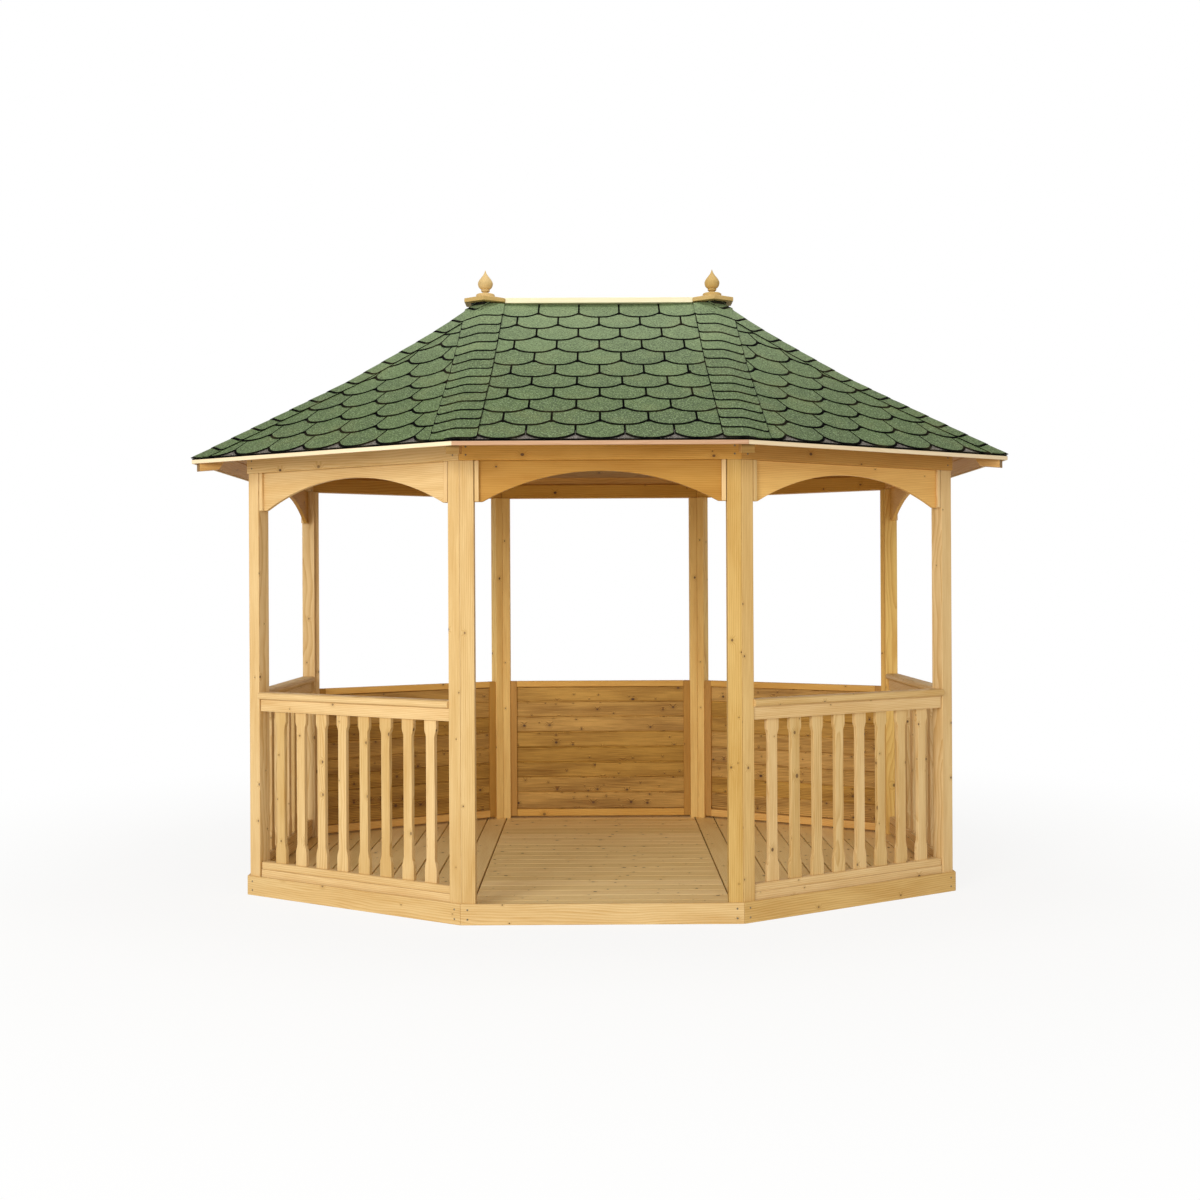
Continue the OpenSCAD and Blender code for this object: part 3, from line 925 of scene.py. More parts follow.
@dataclass(frozen=True)
class Timber:
    """A timber finish: two tones of the figure, the knots, and how they lie."""

    name: str
    light: Colour
    dark: Colour
    knot: Colour = (0.075, 0.030, 0.010)
    ring: float = 0.0075
    knots: float = 0.45
    spacing: float = 0.20
    contrast: float = 1.0
    solid: bool = False
    end_shade: tuple[float, float] = (0.45, 1.1)
    gloss: float = 0.3
    bump: tuple[float, float] = (0.22, 0.0012)

    @classmethod
    def planed(cls, name: str, light: Colour, dark: Colour, knots: float = 0.42,
               contrast: float = 1.2) -> Timber:
        """Planed pine of the frame, with its knots far apart."""
        return cls(name, light, dark, knots=knots, spacing=0.24, contrast=contrast)

    def make(self, effects: Effects) -> bpy.types.Material:
        """Builds the material.

        Args:
            effects: The shared shader groups.

        Returns:
            The material. A plain solid takes its grain from its faces, else the boards carry it.
        """
        mat, g, shader = new_material(self.name)
        sawn = g.node("ShaderNodeGroup", node_tree=effects.timber)
        colour = sawn.outputs["Color"]
        if self.solid:
            face = g.node("ShaderNodeGroup", node_tree=effects.faces)
            g.feed(sawn.inputs["Grain"], face.outputs["Grain"])
            colour = g.mix(face.outputs["End"], colour, g.shade(colour, *self.end_shade))
        else:
            g.feed(sawn.inputs["Grain"], g.carried("grain", "Vector"))
            g.feed(sawn.inputs["Tone"], g.carried("tone", "Fac"))
        for key, value in (("Light", self.light), ("Dark", self.dark), ("Knot", self.knot)):
            sawn.inputs[key].default_value = (*value, 1.0)
        sawn.inputs["Ring"].default_value = self.ring
        sawn.inputs["Knots"].default_value = self.knots
        sawn.inputs["Spacing"].default_value = self.spacing
        sawn.inputs["Contrast"].default_value = self.contrast
        g.feed(shader["Base Color"], colour)
        g.feed(shader["Roughness"], sawn.outputs["Roughness"])
        shader["Specular IOR Level"].default_value = self.gloss
        g.feed(shader["Normal"], g.bump(sawn.outputs["Height"], *self.bump))
        return mat


@dataclass(frozen=True)
class Felt:
    """A roofing felt finish with mineral granules."""

    name: str
    base: Colour
    spread: float = 0.12
    roughness: float = 0.66
    gloss: float = 0.22
    bump: tuple[float, float] = (0.35, 0.0008)

    def make(self, effects: Effects) -> bpy.types.Material:
        """Builds the material.

        Args:
            effects: The shared shader groups.

        Returns:
            The material.
        """
        mat, g, shader = new_material(self.name)
        grit = g.node("ShaderNodeGroup", node_tree=effects.granules)
        grit.inputs["Base"].default_value = (*self.base, 1.0)
        grit.inputs["Spread"].default_value = self.spread
        g.feed(grit.inputs["Tone"], g.carried("tone", "Fac"))
        g.feed(shader["Base Color"], grit.outputs["Color"])
        shader["Roughness"].default_value = self.roughness
        shader["Specular IOR Level"].default_value = self.gloss
        g.feed(shader["Normal"], g.bump(grit.outputs["Height"], *self.bump))
        return mat


@dataclass(frozen=True)
class Zinc:
    """The finish of the screws: dull zinc with a little tarnish."""

    name: str = "zinc_screws"
    clean: Colour = (0.30, 0.24, 0.15)
    dull: Colour = (0.08, 0.06, 0.04)
    stain: tuple[float, float] = (260.0, 2.0)
    fade: tuple[float, float] = (0.4, 0.65)
    metal: float = 0.8

    def make(self) -> bpy.types.Material:
        """Builds the material.

        Returns:
            The material.
        """
        mat, g, shader = new_material(self.name)
        spot = g.node("ShaderNodeTexCoord").outputs["Object"]
        stain = g.noise(spot, *self.stain)
        tarnish = g.ease(stain, *self.fade)
        g.feed(shader["Base Color"], g.mix(tarnish, (*self.clean, 1.0), (*self.dull, 1.0)))
        g.feed(shader["Roughness"], g.math("MULTIPLY_ADD", stain, 0.3, 0.3))
        shader["Metallic"].default_value = self.metal
        return mat


@dataclass
class Finishes:
    """Every material of the gazebo."""

    effects: Effects

    def __post_init__(self) -> None:
        """Builds the materials."""
        e = self.effects
        self.pine = Timber.planed("pine_planed", (0.77, 0.550, 0.262), (0.55, 0.315, 0.092)).make(e)
        # painted shade: a darker, stronger copy of the pine for the plates and ring beam under the eaves
        self.plate = Timber.planed("pine_plates_shaded", (0.70, 0.385, 0.088), (0.51, 0.235, 0.034), 0.5).make(e)
        # painted shade: a darker, stronger copy of the pine for the front right post and skirting
        self.warm = Timber.planed("pine_shaded_front_right", (0.725, 0.490, 0.185), (0.51, 0.278, 0.064),
                                  contrast=1.3).make(e)
        # painted light: a brighter copy of the pine for the posts in the shade at the back
        self.inner = Timber.planed("pine_inner_lit", (0.88, 0.600, 0.185), (0.64, 0.345, 0.066)).make(e)
        # painted shade: a deeper copy of the pine for the arches and panel rails in shade
        self.rail_shade = Timber.planed("pine_rails_shaded", (0.80, 0.480, 0.125), (0.60, 0.295, 0.050)).make(e)
        # painted shade: the deepest copy of the pine, for arches, plates and panel stiles in shade
        self.arch = Timber.planed("pine_deep_shade", (0.56, 0.300, 0.066), (0.41, 0.185, 0.026), 0.4).make(e)
        self.trim = Timber("pine_trim", (0.61, 0.385, 0.245), (0.49, 0.275, 0.155), knots=0.1).make(e)
        # painted highlight: a pale copy of the trim for the eaves of the angled and end sides
        self.pale = Timber("pine_trim_highlight", (0.84, 0.70, 0.48), (0.76, 0.57, 0.34), knots=0.1).make(e)
        # painted highlight: a pale copy of the pine for the ridge plank
        self.ridge = Timber("pine_ridge_highlight", (0.93, 0.86, 0.62), (0.88, 0.74, 0.45), knots=0.1).make(e)
        self.turned = Timber("pine_turned", (0.62, 0.435, 0.175), (0.51, 0.320, 0.100), knots=0.2).make(e)
        self.panel = Timber("pine_boarding", (0.66, 0.385, 0.092), (0.22, 0.094, 0.011), knots=0.62,
                            spacing=0.085, contrast=1.45).make(e)
        # painted shade: a darker copy of the boarding for the back left panel and the sheet under the floor
        # slits
        self.shaded = Timber("pine_boarding_shade", (0.56, 0.310, 0.060), (0.17, 0.066, 0.006), knots=0.62,
                             spacing=0.085, contrast=1.45).make(e)
        # painted light: the floor pine made brighter to make up for the shade under the roof
        self.floor = Timber("pine_floor_lit", (0.96, 0.745, 0.365), (0.76, 0.510, 0.185), knots=0.6,
                            spacing=0.15).make(e)
        self.roof_timber = Timber("pine_roof", (0.62, 0.365, 0.12), (0.47, 0.24, 0.06), solid=True).make(e)
        self.deck = Timber("pine_deck", (0.56, 0.33, 0.11), (0.40, 0.205, 0.055), knots=0.6,
                           spacing=0.15).make(e)
        self.shingle = Felt("felt_shingle", (0.070, 0.110, 0.034)).make(e)
        self.bitumen = Felt("felt_bitumen", (0.004, 0.004, 0.004), spread=0.02, roughness=1.0,
                            gloss=0.0).make(e)
        self.starter = Felt("felt_starter", (0.10, 0.088, 0.075), spread=0.05).make(e)
        self.zinc = Zinc().make()


@dataclass
class Base:
    """Skirting boards, and floor boards on the sheet that their tongues make."""

    finish: Finishes
    skirt_h: float = 0.088
    floor_t: float = 0.016
    seam_in: float = 0.042
    seam: float = 0.008
    mid_pitch: float = 0.099
    end_pitch: float = 0.1062
    slit: float = 0.0025
    end_slit: float = 0.0075
    tongue: float = 0.003
    edge: float = 0.002
    board_edge: float = 0.0015

    def build(self) -> None:
        """Builds and dresses the base."""
        skirting = Stock(11)
        for i in range(8):
            # painted shade on the front right skirting
            wood = 1 if Side(i) is Side.FRONT_RIGHT else 0
            skirting.prism(bar_outline(i, 0.0, PLAN.wall_d), self.skirt_h, PLAN.place(i), Grain.X,
                           self.edge, wood)
        skirting.make("skirting_boards", [self.finish.pine, self.finish.warm], "pine", ["skirting"])
        self._floor()

    def _floor(self) -> None:
        """Lays the boards of the three floor sections on the sheet that their tongues make, dark as painted
        shade in the slits.
        """
        outline = [tuple(PLAN.corner(i, PLAN.wall_d)) for i in range(8)]
        under = Matrix.Translation((0.0, 0.0, PLAN.floor_z - self.floor_t))
        level = Matrix.Translation((0.0, 0.0, PLAN.floor_z - self.floor_t + self.tongue))
        thick = self.floor_t - self.tongue
        # the boards take the brightened floor pine, painted light; the sheet the dark boarding, painted
        # shade
        woods = [self.finish.floor, self.finish.shaded]
        half, depth = PLAN.mid_w / 2 - self.seam_in, PLAN.hex_r - PLAN.wall_d
        middle = Stock(12)
        count = round(2 * depth / self.mid_pitch)
        pitch = 2 * depth / count
        for k in range(count):
            y = -depth + k * pitch
            middle.prism(rectangle(-half, y + self.slit / 2, half, y + pitch - self.slit / 2), thick,
                         level, Grain.X, self.board_edge)
        # the sheet under the slits is painted shade
        middle.prism(rectangle(-half, -depth, half, depth), self.tongue, under, Grain.X, 0.0, 1)
        middle.make("floor_boards_centre", woods, "floor", ["floor_centre"])
        reach = PLAN.mid_w / 2 + PLAN.hex_r * math.cos(math.radians(30)) - PLAN.wall_d
        for sign, name in ((-1, "left"), (1, "right")):
            end = Stock(13 + sign)
            first = half + self.seam
            count = round((reach - first) / self.end_pitch)
            pitch = (reach - first) / count
            for k in range(count):
                x0 = first + k * pitch + (self.end_slit / 2 if k else 0.0)
                x1 = first + (k + 1) * pitch - (self.end_slit / 2 if k < count - 1 else 0.0)
                left, right = sorted((sign * x0, sign * x1))
                board = clip(rectangle(left, -depth, right, depth), outline)
                if board:
                    end.prism(board, thick, level, Grain.Y, self.board_edge)
            # the sheet under the slits is painted shade
            left, right = sorted((sign * half, sign * reach))
            sheet = clip(rectangle(left, -depth, right, depth), outline)
            end.prism(sheet, self.tongue, under, Grain.Y, 0.0, 1)
            end.make("floor_boards_" + name, woods, "floor", ["floor_" + name])


@dataclass
class Frame:
    """Posts, top plates and the ring beam."""

    finish: Finishes
    plate_t: float = 0.066
    ring_w: float = 0.046
    edge: float = 0.0025

    def build(self) -> None:
        """Builds and dresses the frame."""
        for i, label in enumerate(POSTS):
            self._post(i, label)
        plates, ring = Stock(41), Stock(42)
        top = PLAN.plate_z + PLAN.plate_h
        for i in range(8):
            # painted shade on the plates under the eaves, deepest on two walls; the lit walls keep the
            # plain pine
            wood = 1 if Side(i) in LIT_WALLS else 2 if Side(i) in DEEP_SHADE_PLATES else 0
            place = PLAN.place(i) @ Matrix.Translation((0.0, 0.0, PLAN.plate_z))
            plates.prism(bar_outline(i, PLAN.plate_d, self.plate_t), PLAN.plate_h, place, Grain.X,
                         self.edge, wood)
            place = PLAN.place(i) @ Matrix.Translation((0.0, 0.0, top))
            ring.prism(bar_outline(i, PLAN.plate_d, self.ring_w), PLAN.ring_h, place, Grain.X, self.edge)
        plates.make("top_plate_bars", [self.finish.plate, self.finish.pine, self.finish.arch], "pine",
                    ["top_plates"])
        # the ring beam takes the same painted shade
        ring.make("ring_beam_bars", [self.finish.plate], "pine", ["ring_beam"])

    def _post(self, i: int, label: str) -> None:
        """Builds and dresses one post of two mitred halves.

        Args:
            i: Its corner, which starts wall i.
            label: Its name.
        """
        height = PLAN.plate_z - PLAN.floor_z
        gap, near, far = PLAN.gap / 2, PLAN.wall_d, PLAN.inner_d
        halves = Stock(POSTS[label])
        lift = Matrix.Translation((0.0, 0.0, PLAN.floor_z))
        a = PLAN.span(i)[0]
        outline = [(PLAN.start(i, near) + gap, near), (a, near), (a, far), (PLAN.start(i, far) + gap, far)]
        halves.prism(outline, height, PLAN.place(i) @ lift, Grain.Z, self.edge)
        p = (i + 7) % 8
        b = PLAN.span(p)[1]
        outline = [(b, near), (PLAN.stop(p, near) - gap, near), (PLAN.stop(p, far) - gap, far), (b, far)]
        halves.prism(outline, height, PLAN.place(p) @ lift, Grain.Z, self.edge)
        # painted light on the back posts, painted shade on the front right post
        wood = self.finish.inner if label in LIT_POSTS else self.finish.pine
        if label in SHADED_POSTS:
            wood = self.finish.warm
        halves.make("post_halves_" + label, [wood], "pine", ["post_" + label])


@dataclass
class Arches:
    """Sawn arch boards and the battens at their ends."""

    finish: Finishes
    drop: float = 0.173
    crown: float = 0.045
    thick: float = 0.020
    batten_w: float = 0.019
    batten_t: float = 0.015
    slit: float = 0.0032
    foot: float = 0.016
    edge: float = 0.0025
    batten_edge: float = 0.0035
    steps: int = 48

    def outline(self, i: int) -> Outline:
        """Draws the arch board of a wall.

        Args:
            i: Wall number.

        Returns:
            The outline, x along the wall and y up.
        """
        a, b = PLAN.span(i)
        mid, half = (a + b) / 2, (b - a) / 2 - self.batten_w - self.foot
        sag = self.drop - self.crown
        radius = (half * half + sag * sag) / (2 * sag)
        low, top = PLAN.plate_z - self.drop, PLAN.plate_z
        centre = top - self.crown - radius
        sweep = math.asin(half / radius)
        curve = [(mid + radius * math.sin(t), centre + radius * math.cos(t))
                 for t in (sweep * (2 * k / self.steps - 1) for k in range(self.steps + 1))]
        return [(a, low), *curve, (b, low), (b, top), (a, top)]

    def build(self) -> None:
        """Builds and dresses the arches."""
        battens = Stock(50)
        depth = PLAN.wall_d + self.batten_t + self.thick
        for side in ARCHED:
            i = side.value
            board = Stock(51 + i)
            board.prism(self.outline(i), self.thick,
                        PLAN.place(i) @ Matrix.Translation((0.0, depth, 0.0)) @ UPRIGHT, Grain.X, self.edge)
            # painted shade on the arches, deepest on the front and left walls; other lit walls keep the
            # plain pine
            wood = self.finish.pine if side in LIT_WALLS else self.finish.rail_shade
            if side in DEEP_SHADE_ARCHES:
                wood = self.finish.arch
            board.make("arch_board_" + side.label, [wood], "pine", ["arch_" + side.label])
            a, b = PLAN.span(i)
            for x in (a + self.slit, b - self.slit - self.batten_w):
                foot = rectangle(x, PLAN.wall_d, x + self.batten_w, PLAN.wall_d + self.batten_t)
                battens.prism(foot, self.drop,
                              PLAN.place(i) @ Matrix.Translation((0.0, 0.0, PLAN.plate_z - self.drop)),
                              Grain.Z, self.batten_edge)
        battens.make("arch_end_battens", [self.finish.pine], "pine", ["arch_battens"])


@dataclass
class Balustrades:
    """Handrails, rails and flat sawn balusters."""

    finish: Finishes
    rail_top: float = 0.932
    rail_h: float = 0.032
    rail_w: float = 0.066
    rail_r: float = 0.014
    nose: float = 0.013
    slit: float = 0.0025
    upper_h: float = 0.055
    lower_top: float = 0.154
    lower_h: float = 0.088
    cap_h: float = 0.034
    bar_t: float = 0.044
    bar_back: float = 0.006
    count: int = 8
    pitch: float = 0.121
    block_w: float = 0.062
    waist_w: float = 0.045
    thick: float = 0.020
    block_top: float = 0.040
    block_low: float = 0.057
    taper_top: float = 0.034
    taper_low: float = 0.046
    edge: float = 0.002
    bar_edge: float = 0.003
    cap_edge: float = 0.005
    cap_in: float = 0.002

    def baluster(self, x: float, low: float, high: float) -> Outline:
        """Outline of one baluster.

        Args:
            x: Its middle along the wall.
            low: Height of its foot.
            high: Height of its head.

        Returns:
            The outline, x along the wall and y up.
        """
        w, n = self.block_w / 2, self.waist_w / 2
        a, b = low + self.block_low, high - self.block_top
        steps = 8
        bend = [(w - n) * (1 - math.cos(math.pi * k / steps)) / 2 for k in range(steps + 1)]
        half = [(w, low), (w, a)]
        half += [(w - bend[k], a + self.taper_low * k / steps) for k in range(1, steps + 1)]
        half += [(n + bend[k], b - self.taper_top * (1 - k / steps)) for k in range(steps)]
        half += [(w, b), (w, high)]
        return [(x + r, z) for r, z in half] + [(x - r, z) for r, z in reversed(half)]

    def handrail(self) -> Outline:
        """Draws the section of the handrail, with a round nose on both sides.

        Returns:
            The outline, x inwards and y up.
        """
        w, h, r, steps = self.rail_w, self.rail_h, self.rail_r, 6
        turns = [math.pi / 2 * k / steps for k in range(steps + 1)]
        inner = [(w - r + r * math.sin(t), r - r * math.cos(t)) for t in turns]
        inner += [(w - r + r * math.cos(t), h - r + r * math.sin(t)) for t in turns]
        return inner + [(w - self.nose - x, y) for x, y in reversed(inner)]

    def build(self) -> None:
        """Builds and dresses the balustrades."""
        rails = Stock(60)
        upper = self.rail_top - self.rail_h
        for side in RAILED:
            i = side.value
            a, b = PLAN.span(i)
            place = PLAN.place(i)
            along = place @ Matrix.Translation((a, 0.0, 0.0)) @ LENGTHWISE
            section = [(PLAN.wall_d + x, upper + y) for x, y in self.handrail()]
            rails.prism(section, b - a, along, Grain.Z, 0.0)
            along = place @ Matrix.Translation((a + self.slit, 0.0, 0.0)) @ LENGTHWISE
            run = b - a - 2 * self.slit
            panel = Stock(61 + i)
            near = PLAN.wall_d + self.bar_back
            step = self.lower_top - self.cap_h
            far, head = near + self.bar_t, upper - self.upper_h
            panel.prism(rectangle(near, self.lower_top - self.lower_h, far, step), run, along,
                        Grain.Z, self.bar_edge)
            panel.prism(rectangle(near + self.cap_in, step, far - self.cap_in, self.lower_top), run, along,
                        Grain.Z, self.cap_edge)
            panel.prism(rectangle(near, head, far, upper), run, along, Grain.Z, self.bar_edge)
            back = place @ Matrix.Translation((0.0, near + (self.bar_t + self.thick) / 2, 0.0)) @ UPRIGHT
            for k in range(self.count):
                x = (a + b) / 2 + (k - (self.count - 1) / 2) * self.pitch
                panel.prism(self.baluster(x, self.lower_top, head), self.thick, back, Grain.Y, self.edge)
            panel.make("balusters_" + side.label, [self.finish.pine], "pine", ["balustrade_" + side.label])
        rails.make("handrail_bars", [self.finish.pine], "pine", ["handrails"], smooth=True)


@dataclass
class Panels:
    """Framed back panels with horizontal tongue-and-groove boards."""

    finish: Finishes
    top: float = 0.860
    foot: float = 0.067
    stile: float = 0.038
    head_h: float = 0.033
    foot_h: float = 0.040
    frame_t: float = 0.044
    back: float = 0.012
    board_t: float = 0.016
    cover: float = 0.089
    vee: float = 0.005
    crack: float = 0.0016
    edge: float = 0.003

    def board(self, low: float, high: float) -> Outline:
        """Draws the section of one board with vee edges and a tongue.

        Args:
            low: Its lower edge.
            high: Its upper edge, below the tongue.

        Returns:
            The outline, x inwards and y up.
        """
        t, v, w = self.board_t, min(self.vee, (high - low) / 3), self.board_t / 6
        lap = high + 2 * self.crack
        tongue = [(t / 2 + w, high), (t / 2 + w, lap), (t / 2 - w, lap), (t / 2 - w, high)]
        return [(v, low), (t - v, low), (t, low + v), (t, high - v), (t - v, high), *tongue,
                (v, high), (0.0, high - v), (0.0, low + v)]

    def build(self) -> None:
        """Builds and dresses the panels."""
        boards = Stock(70)
        near = PLAN.wall_d + self.back
        for side in PANELLED:
            i = side.value
            a, b = PLAN.span(i)
            place = PLAN.place(i)
            frame = Stock(71 + i)
            # painted shade on the panel frame: the stiles take the deepest copy of the pine, the rails a
            # lighter one
            for x in (a, b - self.stile):
                frame.prism(rectangle(x, near, x + self.stile, near + self.frame_t), self.top - self.foot,
                            place @ Matrix.Translation((0.0, 0.0, self.foot)), Grain.Z, self.edge, 1)
            inner = place @ Matrix.Translation((a + self.stile, 0.0, 0.0)) @ LENGTHWISE
            run = b - a - 2 * self.stile
            for low, high in ((self.foot, self.foot + self.foot_h), (self.top - self.head_h, self.top)):
                frame.prism(rectangle(near, low, near + self.frame_t, high), run, inner, Grain.Z, self.edge)
            frame.make("panel_frame_bars_" + side.label, [self.finish.rail_shade, self.finish.arch], "pine",
                       ["panel_frame_" + side.label])
            seat = near + (self.frame_t - self.board_t) / 2
            bottom, high = self.foot + self.foot_h, self.top - self.head_h
            while high > bottom:
                low = high - self.cover if high - self.cover > bottom + 2 * self.vee else bottom
                section = self.board(low + self.crack / 2, high - self.crack / 2)
                # painted shade on the back left boards
                boards.prism([(seat + x, y) for x, y in section], run, inner, Grain.Z, 0.0,
                             1 if side is Side.BACK_LEFT else 0)
                high = low
        boards.make("panel_tongue_boards", [self.finish.panel, self.finish.shaded], "boards",
                    ["panel_boards"])


@dataclass(frozen=True)
class RoofFace:
    """One plane of the roof with its own frame: s along the eave, t up the slope, h off the deck."""

    side: int

    @property
    def frame(self) -> Matrix:
        """Builds the frame of the face.

        Returns:
            A matrix with its origin in the middle of the eave line.
        """
        p = PLAN.on_plane(PLAN.corner(self.side, 0.0, PLAN.deck_r))
        q = PLAN.on_plane(PLAN.corner(self.side + 1, 0.0, PLAN.deck_r))
        along = (q - p).normalized()
        peak = PLAN.on_plane(PLAN.peak(self.side))
        normal = along.cross(peak - p).normalized()
        frame = Matrix((along, normal.cross(along), normal)).transposed().to_4x4()
        frame.translation = (p + q) / 2
        return frame

    @property
    def fold(self) -> float:
        """How far up the slope the deck changes its pitch."""
        top = max(p[1] for p in self.window(0.0))
        return top * (1 - PLAN.eave_r / PLAN.deck_r / 2)

    def window(self, over: float) -> Outline:
        """Outline of the face in its own frame, with the eave pushed out.

        Args:
            over: How far the eave line is pushed out along the corner radius.

        Returns:
            The outline, counter-clockwise.
        """
        inverse = self.frame.inverted()
        r = PLAN.deck_r + over
        peaks = [PLAN.peak(self.side + 1), PLAN.peak(self.side)]
        if peaks[0] == peaks[1]:
            peaks.pop()
        spots = [PLAN.corner(self.side, 0.0, r), PLAN.corner(self.side + 1, 0.0, r), *peaks]
        return [tuple((inverse @ PLAN.on_plane(p)).xy) for p in spots]


@dataclass
class Decking:
    """The boards of the roof deck, laid along the eaves with vee joints below."""

    finish: Finishes
    board: float = 0.096
    vee: float = 0.004
    crack: float = 0.0006
    heart: tuple[float, float] = (0.03, 0.10)

    def build(self) -> None:
        """Builds and dresses the deck of every roof face."""
        for side in Side:
            face = RoofFace(side.value)
            top = max(p[1] for p in face.window(0.0))
            deck = Stock(120 + side.value)
            for low, high in ((0.0, face.fold), (face.fold, top)):
                count = round((high - low) / self.board)
                step = (high - low) / count
                for k in range(count):
                    self._board(deck, face, low + k * step, low + (k + 1) * step)
            deck.make("roof_boards_" + side.label, [self.finish.deck], "deck", ["roof_" + side.label])

    def _board(self, deck: Stock, face: RoofFace, low: float, high: float) -> None:
        """Lays one board.

        Args:
            deck: The mesh it goes to.
            face: The roof face.
            low: Its lower edge up the slope.
            high: Its upper edge up the slope.
        """
        frame, window, half = face.frame, face.window(0.0), self.crack / 2
        full = clip(rectangle(-REACH, low + half, REACH, high - half), window)
        inner = clip(rectangle(-REACH, low + self.vee, REACH, high - self.vee), window)
        if len(inner) != len(full):
            inner = full
        tone, shift = deck.rng.uniform(-1.0, 1.0), deck.rng.uniform(0.0, TRUNK)
        depth = deck.rng.uniform(*self.heart)
        rings, marks = [], []
        for outline, drop in ((full, 0.0), (full, PLAN.deck_v - self.vee), (inner, PLAN.deck_v)):
            below = Vector((0.0, 0.0, drop))
            rings.append([PLAN.settle(frame @ Vector((u, v, 0.0))) - below for u, v in outline])
            marks.append([(u + shift, v - low, drop + depth) for u, v in outline])
        deck.loft(rings, tone, marks=marks)


@dataclass
class Covering:
    """Rounded felt shingles in staggered rows, their underlay, the starter strip and the hip caps."""

    finish: Finishes
    tab: float = 0.200
    slit: float = 0.0030
    rim: float = 0.0032
    # bare felt at the lower edge of a tab or cap: its own dark edge, widened as painted shadow under the
    # butt
    butt_shadow: float = 0.0130
    sag: float = 0.052
    curve: float = 2.7
    first: float = -0.0115
    row: float = 0.1476
    lap: float = 0.040
    least: float = 0.060
    over: float = 0.0105
    sheet: float = 0.0015
    strip: float = 0.100
    tab_t: float = 0.0026
    skin: float = 0.0006
    head_lift: float = 0.0042
    butt_lift: float = 0.0036
    cap_w: float = 0.100
    cap_row: float = 0.105
    cap_lap: float = 0.035
    cap_stop: float = 0.012
    cap_tip: float = 0.018
    cap_r: float = 0.022
    cap_t: float = 0.0030
    cap_skin: float = 0.0007
    cap_lift: float = 0.0082
    cap_rise: float = 0.0034
    folds: tuple[float, float] = (0.030, 0.015)
    crease: float = 0.001
    heap: float = 0.024
    heap_r: float = 0.100
    heap_under: float = 0.5
    steps: int = 18
    corner_steps: int = 5

    def heaped(self, p: Vector, share: float = 1.0) -> Vector:
        """Moves a point over the flat planes to the deck, raised near a peak where the layers build up.

        Args:
            p: The point over the flat roof planes.
            share: How much of the build-up lies under the point.

        Returns:
            The point on the dipped and built-up covering.
        """
        near = math.hypot(abs(p.x) - PLAN.ridge_x, p.y)
        rise = share * self.heap * math.exp(-max(0.0, near / self.heap_r - 1.0))
        return PLAN.settle(p) + Vector((0.0, 0.0, rise))

    def tab_outline(self, s: float, t: float, rim: float, butt_shadow: float) -> Outline:
        """Outline of one tab.

        Args:
            s: Its middle along the eave.
            t: Its lowest point up the slope.
            rim: How far its sides are drawn in.
            butt_shadow: How far its lower edge is drawn up, which bares black felt as painted shadow.

        Returns:
            The outline, counter-clockwise.
        """
        w = (self.tab - self.slit) / 2 - rim
        spread = [math.sin(math.pi / 2 * (2 * k / self.steps - 1)) for k in range(self.steps + 1)]
        arc = [(s + w * u, t + butt_shadow + self.sag * abs(u) ** self.curve) for u in spread]
        high = t + self.row + self.lap
        return [*arc, (s + w, high), (s - w, high)]

    def plate(self, stock: Stock, poly: Outline, frame: Matrix, lift: Callable[[float], float],
              thick: float, tone: float = 0.0, slot: int = 0,
              settle: Callable[[Vector], Vector] = PLAN.settle) -> None:
        """Adds a thin plate that lies on a roof face.

        Args:
            stock: The mesh it goes to.
            poly: Its outline in the face's frame.
            frame: The face's frame.
            lift: Height of its top off the deck, by distance up the slope.
            thick: Its thickness.
            tone: Its tone.
            slot: Its material slot.
            settle: Brings a point over the flat face down to where it lies.
        """
        rings = [[settle(frame @ Vector((s, t, lift(t) - drop))) for s, t in poly] for drop in (0.0, thick)]
        stock.loft(rings, tone, slot)

    def build(self) -> None:
        """Builds and dresses the covering."""
        felts = [self.finish.shingle, self.finish.bitumen]
        under = Stock(80)
        rng = random.Random(81)
        for i in range(8):
            face = RoofFace(i)
            frame, window = face.frame, face.window(self.over)
            low, top = min(p[1] for p in window), max(p[1] for p in window)
            for a, b in ((low, face.fold), (face.fold, top)):
                part = clip(rectangle(-REACH, a, REACH, b), window)
                self.plate(under, part, frame, lambda t: self.sheet, self.sheet)
            band = clip(rectangle(-REACH, low + self.butt_shadow, REACH, low + self.strip), window)
            self.plate(under, band, frame, lambda t: 2 * self.sheet, self.sheet, slot=1)
            tabs = Stock(82 + i)
            self._tabs(tabs, frame, window, rng)
            tabs.make("shingle_tabs_" + Side(i).label, felts, "shingle")
        under.make("felt_underlay", [self.finish.bitumen, self.finish.starter], "shingle")
        caps = Stock(95)
        for i in range(8):
            self._hip(caps, i, rng)
        caps.make("hip_cap_strips", felts, "shingle", smooth=True)

    def _tabs(self, stock: Stock, frame: Matrix, window: Outline, rng: random.Random) -> None:
        """Lays the rows of tabs on one face, each a dark felt with a granule skin that leaves its rim bare,
        and a wider bare band at its lower edge as painted shadow under the butt.

        Args:
            stock: The mesh they go to.
            frame: The face's frame.
            window: Outline of the face.
            rng: Draws the tone of each tab.
        """
        reach = max(abs(p[0]) for p in window)
        top = max(p[1] for p in window)
        count = int(reach / self.tab) + 2
        j = 0

        def settle(p: Vector) -> Vector:
            """Brings a point of a tab down to the covering."""
            return self.heaped(p, self.heap_under)

        while self.first + j * self.row < top - self.least:
            t = self.first + j * self.row
            high = t + self.row + self.lap

            def lift(v: float, t: float = t, high: float = high) -> float:
                """Height of this row's felt off the deck."""
                return self.head_lift + self.butt_lift * max(0.0, (high - v) / (high - t))

